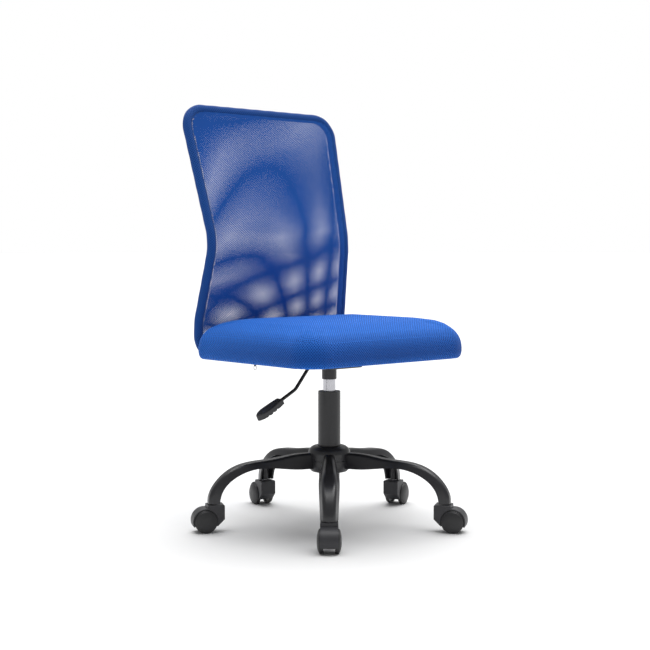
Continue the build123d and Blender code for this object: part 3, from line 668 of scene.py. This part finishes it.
# ---------------------------------------------------------------- seat
@dataclass
class SeatCushion:
    """The padded seat: foam under a knitted cover, wrapped round the board's edge."""

    front_corner: float = 0.060
    rear_corner: float = 0.030
    tightest_corner: float = 0.008
    board_gap: float = 0.0004
    rim_fold: float = 0.006  # how far the rim turns in before it meets the board
    rim_thickness: float = 0.002
    # Share of the height, and how far the side stands in there
    profile: tuple[tuple[float, float], ...] = (
        (0.0, 0.008),
        (0.06, 0.003),
        (0.14, 0.0005),
        (0.24, 0.0),
        (0.38, 0.0),
        (0.49, 0.002),
        (0.59, 0.006),
        (0.68, 0.0125),
        (0.76, 0.021),
        (0.84, 0.035),
        (0.91, 0.057),
        (0.965, 0.090),
        (1.0, 0.140),
    )
    start_in: float = 0.0015  # how much smaller the padding starts, before it swells
    corner_steps: int = 10
    voxel: float = 0.005
    pressure: float = 4.0
    swell: float = 0.003  # how far it may swell
    swell_from: float = 0.035  # height over which the swelling sets in, above the board
    frames: int = 20
    rows_bow: float = 0.35  # how strongly the cloth's rows bow over the crown
    upright_top: float = 0.62  # a face that points up more than this is mapped from above
    slack_top: float = 0.85  # and one that points up more than this gets no painted shade
    stretch_power: float = 0.7  # how fast the painted shade sets in over the edge
    rear_stretch: float = 0.35  # painted shade at the rear, against that round the front
    low: Vector = field(default_factory=lambda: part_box("seat_cover")[0])
    high: Vector = field(default_factory=lambda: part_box("seat_cover")[1])

    def outline(self, inset: float) -> np.ndarray:
        """The seat's plan, drawn in by an inset.

        Args:
            inset: Distance in from the seat's outer edge.

        Returns:
            One row (x, y) for each point, anticlockwise from the front right.
        """
        low, high = self.low, self.high
        corners = (
            (high.x, low.y, self.front_corner, -math.pi / 2),
            (high.x, high.y, self.rear_corner, 0.0),
            (low.x, high.y, self.rear_corner, math.pi / 2),
            (low.x, low.y, self.front_corner, math.pi),
        )
        points = []
        for x, y, corner, start in corners:
            radius = max(corner - inset, self.tightest_corner)
            middle_x = x - math.copysign(inset + radius, x)
            middle_y = y - math.copysign(inset + radius, y)
            for j in range(self.corner_steps + 1):
                turn = start + j / self.corner_steps * math.pi / 2
                points.append((middle_x + radius * math.cos(turn), middle_y + radius * math.sin(turn)))
        return np.array(points)

    def rings(self) -> list[tuple[float, float]]:
        """Height and inset of each ring, from the roof of the board's recess round to the crown."""
        board_low, board_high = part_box("seat_board")
        recess = board_low.x - self.low.x - self.board_gap
        bottom = self.low.z
        height = self.high.z - bottom
        roof = board_high.z + self.board_gap
        under = [(roof, recess), (bottom + self.rim_thickness, recess), (bottom, recess - self.rim_fold)]
        return under + [(bottom + share * height, inset) for share, inset in self.profile]

    def padding(self) -> bpy.types.Object:
        """The closed form of the cushion before it swells."""
        sections = self.rings()
        points = []
        under = len(sections) - len(self.profile)
        for i, (z, inset) in enumerate(sections):
            shrunk = self.start_in if i >= under else 0.0
            lowered = self.start_in if i == len(sections) - 1 else 0.0
            points += [(x, y, z - lowered) for x, y in self.outline(inset + shrunk)]
        count = len(self.outline(0.0))
        faces = []
        for ring in range(len(sections) - 1):
            first = ring * count
            faces += [
                (first + j, first + (j + 1) % count, first + count + (j + 1) % count, first + count + j)
                for j in range(count)
            ]
        faces.append(tuple(reversed(range(count))))
        faces.append(tuple((len(sections) - 1) * count + j for j in range(count)))
        piece = mesh_piece("seat_cushion", np.array(points), faces)
        face_out(piece)
        activate(piece)
        piece.data.remesh_voxel_size = self.voxel
        bpy.ops.object.voxel_remesh()
        return piece

    def swollen(self, piece: bpy.types.Object) -> None:
        """Inflate the padding as cloth, held where it is wrapped round the board."""
        start = points_of(piece.data)
        above_board = start[:, 2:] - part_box("seat_board")[1].z
        held = piece.vertex_groups.new(name="held")
        wrapped = np.flatnonzero(above_board < 0)
        held.add(wrapped.tolist(), 1.0, "REPLACE")
        cloth = piece.modifiers.new("swell", "CLOTH")
        cloth.settings.use_pressure = True
        cloth.settings.uniform_pressure_force = self.pressure
        cloth.settings.vertex_group_mass = "held"
        cloth.settings.effector_weights.gravity = 0.0
        cloth.point_cache.frame_end = self.frames
        for number in range(1, self.frames + 1):
            bpy.context.scene.frame_set(number)
        activate(piece)
        bpy.ops.object.modifier_apply(modifier=cloth.name)
        move = points_of(piece.data) - start
        far = np.linalg.norm(move, axis=1, keepdims=True)
        ease = np.clip(above_board / self.swell_from, 0.0, 1.0)
        put_points(piece.data, start + move * ease * np.minimum(1.0, self.swell / np.maximum(far, 1e-9)))
        bpy.context.scene.frame_set(1)

    def map_cloth(self, mesh: bpy.types.Mesh) -> None:
        """Map the cover in metres: its top from above, its side by the way round and the height."""
        points = points_of(mesh)
        plan = self.outline(0.0)
        edge = np.vstack([plan, plan[:1]])
        lengths = np.concatenate([[0.0], np.cumsum(np.linalg.norm(np.diff(edge, axis=0), axis=1))])
        angles = np.unwrap(np.arctan2(edge[:, 1], edge[:, 0]))
        turns = np.mod(np.arctan2(points[:, 1], points[:, 0]) - angles[0], 2 * math.pi)
        around = np.interp(turns, angles - angles[0], lengths)
        layer = mesh.uv_layers.new(name="cloth")
        corner_points = np.empty(len(mesh.loops), int)
        mesh.loops.foreach_get("vertex_index", corner_points)
        corner_faces = np.repeat(np.arange(len(mesh.polygons)), [p.loop_total for p in mesh.polygons])
        upright = np.array([p.normal.z for p in mesh.polygons])
        on_top = np.abs(upright[corner_faces]) > self.upright_top
        at = points[corner_points]
        side_u = around[corner_points]
        furthest = np.zeros(len(mesh.polygons))
        np.maximum.at(furthest, corner_faces, side_u)
        crosses_start = furthest[corner_faces] - side_u > lengths[-1] / 2
        side_u = np.where(crosses_start, side_u + lengths[-1], side_u)
        bowed = at[:, 1] + self.rows_bow * (at[:, 2] - self.low.z)
        uv = np.stack([np.where(on_top, at[:, 0], side_u), np.where(on_top, bowed, at[:, 2])], axis=1)
        layer.data.foreach_set("uv", uv.astype(np.float32).ravel())

    def mark_stretch(self, mesh: bpy.types.Mesh) -> None:
        """Write painted shade as a point value: 0 on the cover's top, up to 1 on its steep sides round the
        front.
        """
        points = points_of(mesh)
        upright = np.array([v.normal.z for v in mesh.vertices])
        ahead = np.clip((self.high.y - points[:, 1]) / (self.high.y - self.low.y), 0.0, 1.0)
        steep = np.clip((self.slack_top - np.abs(upright)) / self.slack_top, 0.0, 1.0)
        # Painted shade: darker where the cover turns steep, more so towards the front.
        painted_shade = steep**self.stretch_power * (self.rear_stretch + (1 - self.rear_stretch) * ahead)
        mesh.attributes.new("painted_shade", "FLOAT", "POINT").data.foreach_set("value", painted_shade.astype(np.float32))

    def build(self, dresser: Dresser) -> None:
        """Make the cushion and put it in place of the plain foam and cover."""
        piece = self.padding()
        self.swollen(piece)
        activate(piece)
        smooth = piece.modifiers.new("smooth", "SUBSURF")
        smooth.levels = smooth.render_levels = 1
        bpy.ops.object.modifier_apply(modifier=smooth.name)
        self.map_cloth(piece.data)
        self.mark_stretch(piece.data)
        finish_piece(piece, dresser, Finish.SEAT_MESH, smooth=80.0)
        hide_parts("seat_foam", "seat_cover")


@dataclass
class SeatUnderside:
    """The dust cloth under the board, and the staples that hold it and the cover's edge."""

    corner: float = 0.038
    cells: tuple[int, int] = (60, 48)
    under_gap: float = 0.0003  # cloth above the plain sheet's lowest face
    sag: float = 0.0005
    ripples: tuple[float, float, float] = (61.0, 47.0, 23.0)  # waves of the slack, in radians per metre
    staple_gap: float = 0.034
    staple_inset: float = 0.007
    staple_size: tuple[float, float, float] = (0.010, 0.0009, 0.0006)
    staple_bevel: float = 0.0002
    staple_lean: float = 6.0  # degrees off square, at most

    def dust_cloth(self, dresser: Dresser) -> None:
        """The black cloth, slack between its staples."""
        low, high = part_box("underside_cloth")
        middle, size = (low + high) / 2, high - low
        piece = flat_grid("dust_cloth", self.cells)
        piece.data.transform(Matrix.Translation(middle) @ Matrix.Diagonal((size.x, size.y, -1.0, 1.0)))
        points = points_of(piece.data)
        from_middle = points[:, :2] - np.array(middle[:2])
        over = np.maximum(np.abs(from_middle) - (np.array(size[:2]) / 2 - self.corner), 0.0)
        far = np.linalg.norm(over, axis=1)
        kept = np.where(far > self.corner, self.corner / np.maximum(far, 1e-9), 1.0)  # rounds the corners
        points[:, :2] -= np.sign(from_middle) * (over * (1 - kept[:, None]))
        along_x, along_y, slant = self.ripples
        slack = np.sin(points[:, 0] * along_x) * np.cos(points[:, 1] * along_y + points[:, 0] * slant)
        points[:, 2] = low.z + self.under_gap + self.sag * (0.5 + 0.5 * slack)
        put_points(piece.data, points)
        finish_piece(piece, dresser, Finish.UNDER_CLOTH)
        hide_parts("underside_cloth")

    def staples(self, dresser: Dresser) -> None:
        """Flat wire staples all round the cloth's edge."""
        low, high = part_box("underside_cloth")
        pattern = bevelled_block("staple", self.staple_size, self.staple_bevel)
        x, y = (high.x - low.x) / 2 - self.staple_inset, (high.y - low.y) / 2 - self.staple_inset
        middle = (low + high) / 2
        middle.z = low.z + self.staple_bevel
        places = []
        for turned, half_run, reach in ((0.0, x - self.corner, y), (90.0, y - self.corner, x)):
            count = round(2 * half_run / self.staple_gap)
            for side in (-1, 1):
                for j in range(count + 1):
                    run = half_run * (2 * j / count - 1)
                    spot = Vector((run, side * reach, 0)) if not turned else Vector((side * reach, run, 0))
                    lean = self.staple_lean * math.sin(5.3 * j + 2.0 * side)  # no two neighbours alike
                    turn = Matrix.Rotation(math.radians(turned + lean), 4, "Z")
                    places.append(Matrix.Translation(middle + spot) @ turn)
        piece = repeat("seat_staples", pattern, places)
        finish_piece(piece, dresser, Finish.RING_STEEL)

    def build(self, dresser: Dresser) -> None:
        """Make the cloth and its staples."""
        self.dust_cloth(dresser)
        self.staples(dresser)


# ---------------------------------------------------------------- back
@dataclass
class BackLoop:
    """The line of the back's bent tube, taken from the frame and the tube's own bends."""

    tube: float = 0.0095
    sleeve: float = 0.0103
    foot_half: float = 0.2134
    waist_half: float = 0.1965
    top_half: float = 0.2177
    foot_rise: float = 0.0735
    waist_rise: float = 0.2495
    lean_in: float = 0.0335
    lean_out: float = 0.0480
    radii: tuple[float, ...] = (0.042, 0.120, 0.140, 0.046)
    step: float = 0.006
    points: list[Vector] = field(default_factory=list)

    def __post_init__(self) -> None:
        """Work out the loop's line."""
        low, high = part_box("back_frame")
        zip_low, zip_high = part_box("zip_chain")
        foot_y = (zip_low.y + zip_high.y) / 2
        foot_z, top_z = low.z + self.tube, high.z - self.tube
        self.foot = Vector((0.0, foot_y, foot_z))
        self.top = Vector((0.0, foot_y + self.lean_out, top_z))
        right = [
            Vector((self.foot_half, foot_y, foot_z)),
            Vector((self.foot_half, foot_y, foot_z + self.foot_rise)),
            Vector((self.waist_half, foot_y - self.lean_in, foot_z + self.waist_rise)),
            Vector((self.top_half, self.top.y, top_z)),
        ]
        left = [Vector((-p.x, p.y, p.z)) for p in reversed(right)]
        self.points = rounded_path(right + left, [*self.radii, *reversed(self.radii)], self.step)

    def length(self) -> float:
        """The length of the tube's line."""
        return sum((p - q).length for p, q in zip(self.points, self.points[1:] + self.points[:1]))

    def frames(self) -> list[tuple[Vector, Vector, Vector]]:
        """At each point: the point, the way to the loop's inside, and the way to its rear."""
        count = len(self.points)
        found = []
        for i, point in enumerate(self.points):
            along = (self.points[(i + 1) % count] - self.points[i - 1]).normalized()
            rear = (Vector((0, 1, 0)) - along * along.y).normalized()
            inward = rear.cross(along)
            middle = Vector((0.0, point.y, (self.foot.z + self.top.z) / 2))
            if inward.dot(middle - point) < 0:
                inward = -inward
            found.append((point, inward, rear))
        return found


@dataclass
class NetPanel:
    """One of the back's two knitted nets, stretched over the tube loop, with a hole in every cell.

    The two nets lie one behind the other, so a small difference in their stretch shows as broad pale bands.
    """

    name: str
    node: str
    to_front: bool
    pitch_across: float = 0.0048
    pitch_up: float = 0.0042
    yarn_share: float = 0.25  # width of a yarn as a share of a cell's side
    spread: float = 0.0  # extra stretch across, low on the back
    swirl: float = 0.0  # sideways pull at the waist
    drop: float = 0.0  # how much lower than even its lowest rows run
    bow: float = 0.0  # how far the rows sag between the sides
    bow_above: float = 0.8  # how much of the bow stays at the top
    drop_power: float = 2.68  # how fast the drop fades upwards
    shear: float = 0.0  # how much lower the lowest rows run on the right side than in the middle
    offset: tuple[float, float] = (0.0, 0.0)  # shift of the lattice across and down, in cells
    surface_gap: float = 0.0004
    spare_cells: int = 16  # cells that stick out beyond the panel, before it is cut to its edge

    def cells(self) -> bpy.types.Object:
        """A square grid turned to a diamond lattice that covers the whole panel."""
        low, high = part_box(self.node)
        across, up = (high.x - low.x) / self.pitch_across, (high.z - low.z) / self.pitch_up
        count = math.ceil(across + up) + self.spare_cells
        piece = flat_grid(self.name, (count, count), size=count)
        diagonal = 1 / math.sqrt(2)
        side = 1.0 if self.to_front else -1.0
        turn = Matrix.Rotation(math.radians(45), 4, "Z")
        scale = Matrix.Diagonal((side * self.pitch_across * diagonal, self.pitch_up * diagonal, 1.0, 1.0))
        stand = Matrix.Rotation(math.radians(90), 4, "X")
        lift = Matrix.Translation((0, 0, (low.z + high.z) / 2))
        piece.data.transform(lift @ stand @ scale @ turn)
        return piece

    def pull(self, piece: bpy.types.Object) -> None:
        """Draw the lattice over the loop: stretched low down, bowed and pulled a little sideways."""
        low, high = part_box(self.node)
        points = points_of(piece.data)
        across = points[:, 0] / high.x
        up = (points[:, 2] - low.z) / (high.z - low.z)
        below = np.clip(1.0 - up, 0.0, None)
        free = 1 - across**2
        points[:, 0] += self.spread * below**2 * points[:, 0] + self.swirl * np.sin(math.pi * up) * free
        points[:, 0] += self.offset[0] * self.pitch_across
        points[:, 2] -= self.drop * below**self.drop_power + self.bow * (self.bow_above + below) * free
        points[:, 2] -= self.shear * across * below + self.offset[1] * self.pitch_up
        put_points(piece.data, points)

    def panel_face(self, frame: dict) -> Callable[[float, float], float | None]:
        """Find the plain panel's outer face.

        Args:
            frame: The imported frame.

        Returns:
            A function of x and z that gives the face's Y, or None beyond the panel's edge.
        """
        mesh = frame["nodes"][self.node].data
        mesh.calc_loop_triangles()
        triangles = [tuple(t.vertices) for t in mesh.loop_triangles]
        tree = BVHTree.FromPolygons([v.co.copy() for v in mesh.vertices], triangles)
        way = 1.0 if self.to_front else -1.0

        def face(x: float, z: float) -> float | None:
            """The face's Y at one place."""
            hit = tree.ray_cast(Vector((x, -way, z)), Vector((0, way, 0)))[0]
            return None if hit is None else hit.y + way * self.surface_gap

        return face

    def build(self, frame: dict, dresser: Dresser) -> None:
        """Make the net and put it in place of the plain panel.

        Args:
            frame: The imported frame.
            dresser: Holds the finishes.
        """
        face = self.panel_face(frame)
        piece = self.cells()
        self.pull(piece)
        mesh = piece.data
        held = np.array([face(x, z) is not None for x, _, z in points_of(mesh)])
        corners = np.empty(len(mesh.loops), int)
        mesh.loops.foreach_get("vertex_index", corners)
        whole = held[corners].reshape(-1, 4).all(axis=1)
        drop_faces(piece, ~whole)
        select_faces(piece, np.ones(len(mesh.polygons), bool))
        side = math.hypot(self.pitch_across, self.pitch_up) / 2
        bpy.ops.mesh.inset(thickness=self.yarn_share * side, use_individual=True)
        bpy.ops.mesh.delete(type="FACE")
        bpy.ops.object.mode_set(mode="OBJECT")
        points = points_of(mesh)
        points[:, 1] = [face(x, z) or 0.0 for x, _, z in points]
        put_points(mesh, points)
        finish_piece(piece, dresser, Finish.BACK_MESH)
        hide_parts(self.node)
        low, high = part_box(self.node)
        flat = (high.x - low.x, math.hypot(high.z - low.z, high.y - low.y))
        yarn = 1 - (1 - 2 * self.yarn_share) ** 2  # share of the cloth that is not hole
        cut = min(sum(p.area for p in mesh.polygons) / yarn, flat[0] * flat[1])
        log.info("%s: %.3f square metres with its holes", self.name, cut)


@dataclass
class BackSleeve:
    """The hem of the nets where they wrap the tube, open between them, with its rows of stitches."""

    loop: BackLoop
    sides: int = 18
    pucker: float = 0.00025
    bracket_half: float = 0.041
    slit_front: float = 0.002  # the slit starts this far ahead of the tube's line
    slit_rise: float = 0.003  # and ends this far above it
    stitch_length: float = 0.0034
    stitch_gap: float = 0.0058
    stitch_thread: float = 0.00042
    rows: tuple[float, ...] = (0.0062, 0.0088)  # how far inside the tube's line each row runs

    def wrapped(self) -> bpy.types.Object:
        """The sleeve round the whole tube, open by one strip inside the loop, mapped in metres."""
        frames = self.loop.frames()
        points, rings = [], len(frames)
        for i, (centre, inward, rear) in enumerate(frames):
            for j in range(self.sides):
                turn = 2 * math.pi * (j + 0.5) / self.sides
                pucker = self.pucker * math.sin(0.9 * i + 2 * math.sin(turn)) * math.cos(turn)
                radius = self.loop.sleeve + pucker
                points.append(centre + radius * (inward * math.cos(turn) + rear * math.sin(turn)))
        faces, along_around = [], []
        step = self.loop.length() / rings
        arc = 2 * math.pi * self.loop.sleeve / self.sides
        for i in range(rings):
            for j in range(self.sides - 1):
                ends = ((i, j), (i + 1, j), (i + 1, j + 1), (i, j + 1))
                faces.append([(a % rings) * self.sides + b for a, b in ends])
                along_around += [(a * step, b * arc) for a, b in ends]
        piece = mesh_piece("sleeve_band", np.array(points), faces)
        layer = piece.data.uv_layers.new(name="cloth")
        layer.data.foreach_set("uv", np.array(along_around, np.float32).ravel())
        return piece

    def hem(self, dresser: Dresser) -> None:
        """The sleeve, slit where the bracket comes out."""
        piece = self.wrapped()
        centres = np.array([p.center for p in piece.data.polygons])
        normals = np.array([p.normal for p in piece.data.polygons])
        if (normals * (centres - self.ring_centres())).sum() < 0:
            piece.data.flip_normals()
        slit = (
            (np.abs(centres[:, 0]) < self.bracket_half)
            & (centres[:, 1] < self.loop.foot.y - self.slit_front)
            & (centres[:, 2] < self.loop.foot.z + self.slit_rise)
        )
        drop_faces(piece, slit)
        finish_piece(piece, dresser, Finish.BACK_MESH, SLEEVE_KNIT, 80.0)
        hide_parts("sleeve_edge")
        self.loop.length()

    def ring_centres(self) -> np.ndarray:
        """The tube's centre beside each face of the hem."""
        points = np.array(self.loop.points)
        middles = (points + np.roll(points, -1, axis=0)) / 2
        return np.repeat(middles, self.sides - 1, axis=0)

    def stitches(self, dresser: Dresser) -> None:
        """Rows of lockstitch that close the hem, on the front and on the rear."""
        deselect()
        bpy.ops.mesh.primitive_uv_sphere_add(segments=6, ring_count=4, radius=1.0, location=(0, 0, 0))
        pattern = named("stitch")
        size = (self.stitch_thread, self.stitch_thread, self.stitch_length / 2, 1.0)
        pattern.data.transform(Matrix.Diagonal(size))
        frames = self.loop.frames()
        step = self.loop.length() / len(frames)
        count = int(self.loop.length() / self.stitch_gap)
        places = []
        for inset in self.rows:
            lift = math.sqrt(self.loop.sleeve**2 - inset**2) + self.stitch_thread
            for way in (-1, 1):
                for j in range(count):
                    at = int(j * self.stitch_gap / step)
                    centre, inward, rear = frames[at % len(frames)]
                    after = frames[(at + 1) % len(frames)][0]
                    along = (after - centre).normalized()
                    spot = centre + inward * inset + rear * (way * lift)
                    frame = Matrix((inward, along.cross(inward), along)).transposed().to_4x4()
                    places.append(Matrix.Translation(spot) @ frame)
        piece = repeat("sleeve_stitches", pattern, places)
        finish_piece(piece, dresser, Finish.BACK_MESH, SEWING_THREAD)

    def build(self, dresser: Dresser) -> None:
        """Make the hem and its stitches."""
        self.hem(dresser)
        self.stitches(dresser)


@dataclass
class SleeveZip:
    """The coil zip along the foot of the sleeve: its tape, and its teeth under the slider."""

    loop: BackLoop
    tape_half: float = 0.0075
    tape_lift: float = 0.0005  # tape over the sleeve
    tape_cells: tuple[int, int] = (96, 8)
    tooth_pitch: float = 0.0016
    tooth_size: tuple[float, float, float] = (0.0009, 0.0034, 0.0014)
    tooth_lift: float = 0.0001
    tooth_side: float = 0.0008  # how far the teeth of one side stand off the chain's middle

    def tape(self, dresser: Dresser) -> None:
        """The woven tape, bent round the underside of the tube."""
        low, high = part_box("zip_chain")
        piece = flat_grid("zip_tape", self.tape_cells)
        points = points_of(piece.data)
        radius = self.loop.sleeve + self.tape_lift
        turn = points[:, 1] * 2 * self.tape_half / radius
        points[:, 0] = (low.x + high.x) / 2 + points[:, 0] * (high.x - low.x)
        points[:, 2] = self.loop.foot.z - radius * np.cos(turn)
        points[:, 1] = self.loop.foot.y - radius * np.sin(turn)
        put_points(piece.data, points)
        if piece.data.polygons[0].normal.z > 0:
            piece.data.flip_normals()
        finish_piece(piece, dresser, Finish.ZIP_TAPE)

    def teeth(self, dresser: Dresser) -> None:
        """The meshed teeth, one from each side in turn."""
        low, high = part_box("zip_chain")
        pattern = bevelled_block("tooth", self.tooth_size, bevel=0.0002)
        height = low.z + self.tooth_size[2] / 2 + self.tooth_lift
        places = []
        for j in range(int((high.x - low.x) / self.tooth_pitch)):
            side = self.tooth_side if j % 2 else -self.tooth_side
            spot = (low.x + (j + 0.5) * self.tooth_pitch, self.loop.foot.y + side, height)
            places.append(Matrix.Translation(spot))
        piece = repeat("zip_teeth", pattern, places)
        finish_piece(piece, dresser, Finish.ZIP_TAPE)
        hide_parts("zip_chain")

    def build(self, dresser: Dresser) -> None:
        """Make the tape and the teeth."""
        self.tape(dresser)
        self.teeth(dresser)


# ---------------------------------------------------------------- room
@dataclass
class Studio:
    """A pale floor under soft overhead light, and the camera."""

    floor_half: float = 150.0
    floor_colour: Colour = (0.74, 0.74, 0.74)
    sky: float = 0.42
    overhead: float = 4.2
    overhead_spread: float = 75.0  # degrees across
    overhead_tilt: tuple[float, float] = (-8.0, 14.0)  # degrees about X and Y
    camera_place: tuple[float, float, float] = (-1.8959, -2.1279, 0.6135)
    camera_way: tuple[float, float] = (0.66275, 0.74885)
    camera_pitch: float = 3.37  # degrees downward
    lens: float = 71.14

    def floor(self) -> None:
        """The plain floor."""
        deselect()
        bpy.ops.mesh.primitive_plane_add(size=2 * self.floor_half, location=(0, 0, 0))
        piece = named("studio_floor")
        recipe = Recipe("studio_floor_paint", self.floor_colour, Roughness=0.9, Specular_IOR_Level=0.1)
        piece.data.materials.append(recipe.material)
        piece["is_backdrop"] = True

    def light(self) -> None:
        """A white surround and one wide soft light overhead."""
        world = bpy.data.worlds.new("studio_air")
        bpy.context.scene.world = world
        world.use_nodes = True
        tree = world.node_tree
        tree.nodes.clear()
        seen = tree.nodes.new("ShaderNodeBackground")
        lit = tree.nodes.new("ShaderNodeBackground")
        lit.inputs["Strength"].default_value = self.sky
        for background in (seen, lit):
            background.inputs["Color"].default_value = (1.0, 1.0, 1.0, 1.0)
        path = tree.nodes.new("ShaderNodeLightPath")
        mixed = tree.nodes.new("ShaderNodeMixShader")
        tree.links.new(path.outputs["Is Camera Ray"], mixed.inputs[0])
        tree.links.new(lit.outputs[0], mixed.inputs[1])
        tree.links.new(seen.outputs[0], mixed.inputs[2])
        tree.links.new(mixed.outputs[0], tree.nodes.new("ShaderNodeOutputWorld").inputs["Surface"])
        deselect()
        bpy.ops.object.light_add(type="SUN", location=(0.5, 0.3, 3.0))
        sun = bpy.context.object
        sun.name = "overhead_light"
        sun.data.energy = self.overhead
        sun.data.angle = math.radians(self.overhead_spread)
        sun.rotation_euler = (*map(math.radians, self.overhead_tilt), 0.0)

    def camera(self) -> None:
        """The camera, level with the seat's front corner."""
        data = bpy.data.cameras.new("camera")
        data.lens = self.lens
        camera = bpy.data.objects.new("camera", data)
        bpy.context.scene.collection.objects.link(camera)
        camera.location = self.camera_place
        fall = math.tan(math.radians(self.camera_pitch))
        way = Vector((*self.camera_way, -fall * math.hypot(*self.camera_way)))
        camera.rotation_euler = way.to_track_quat("-Z", "Y").to_euler()
        bpy.context.scene.camera = camera

    def build(self) -> None:
        """Make the floor, the light and the camera."""
        self.floor()
        self.light()
        self.camera()
        bpy.context.scene.view_settings.view_transform = "Standard"


def main() -> None:
    """Build the chair's looks round the frame, in order."""
    logging.basicConfig(level=logging.INFO, format="%(name)s: %(message)s")
    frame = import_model()
    cad_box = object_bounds()
    Studio().build()
    dresser = Dresser()
    dresser.nodes(frame)
    loop = BackLoop()
    NetPanel("net_front", "sleeve_front", to_front=True).build(frame, dresser)
    rear = NetPanel(
        "net_rear",
        "sleeve_rear",
        to_front=False,
        spread=0.0748,
        swirl=-0.0043,
        drop=0.016,
        bow=0.0019,
        shear=-0.0028,
        offset=(-0.243, 0.238),
    )
    rear.build(frame, dresser)
    BackSleeve(loop).build(dresser)
    SleeveZip(loop).build(dresser)
    SeatCushion().build(dresser)
    SeatUnderside().build(dresser)
    deselect()
    visual_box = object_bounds()
    for axis, letter in enumerate("XYZ"):
        grown = (visual_box[1][axis] - visual_box[0][axis]) - (cad_box[1][axis] - cad_box[0][axis])
        log.info("size along %s: %+.1f mm against the frame", letter, 1000 * grown)


if __name__ == "__main__":
    main()
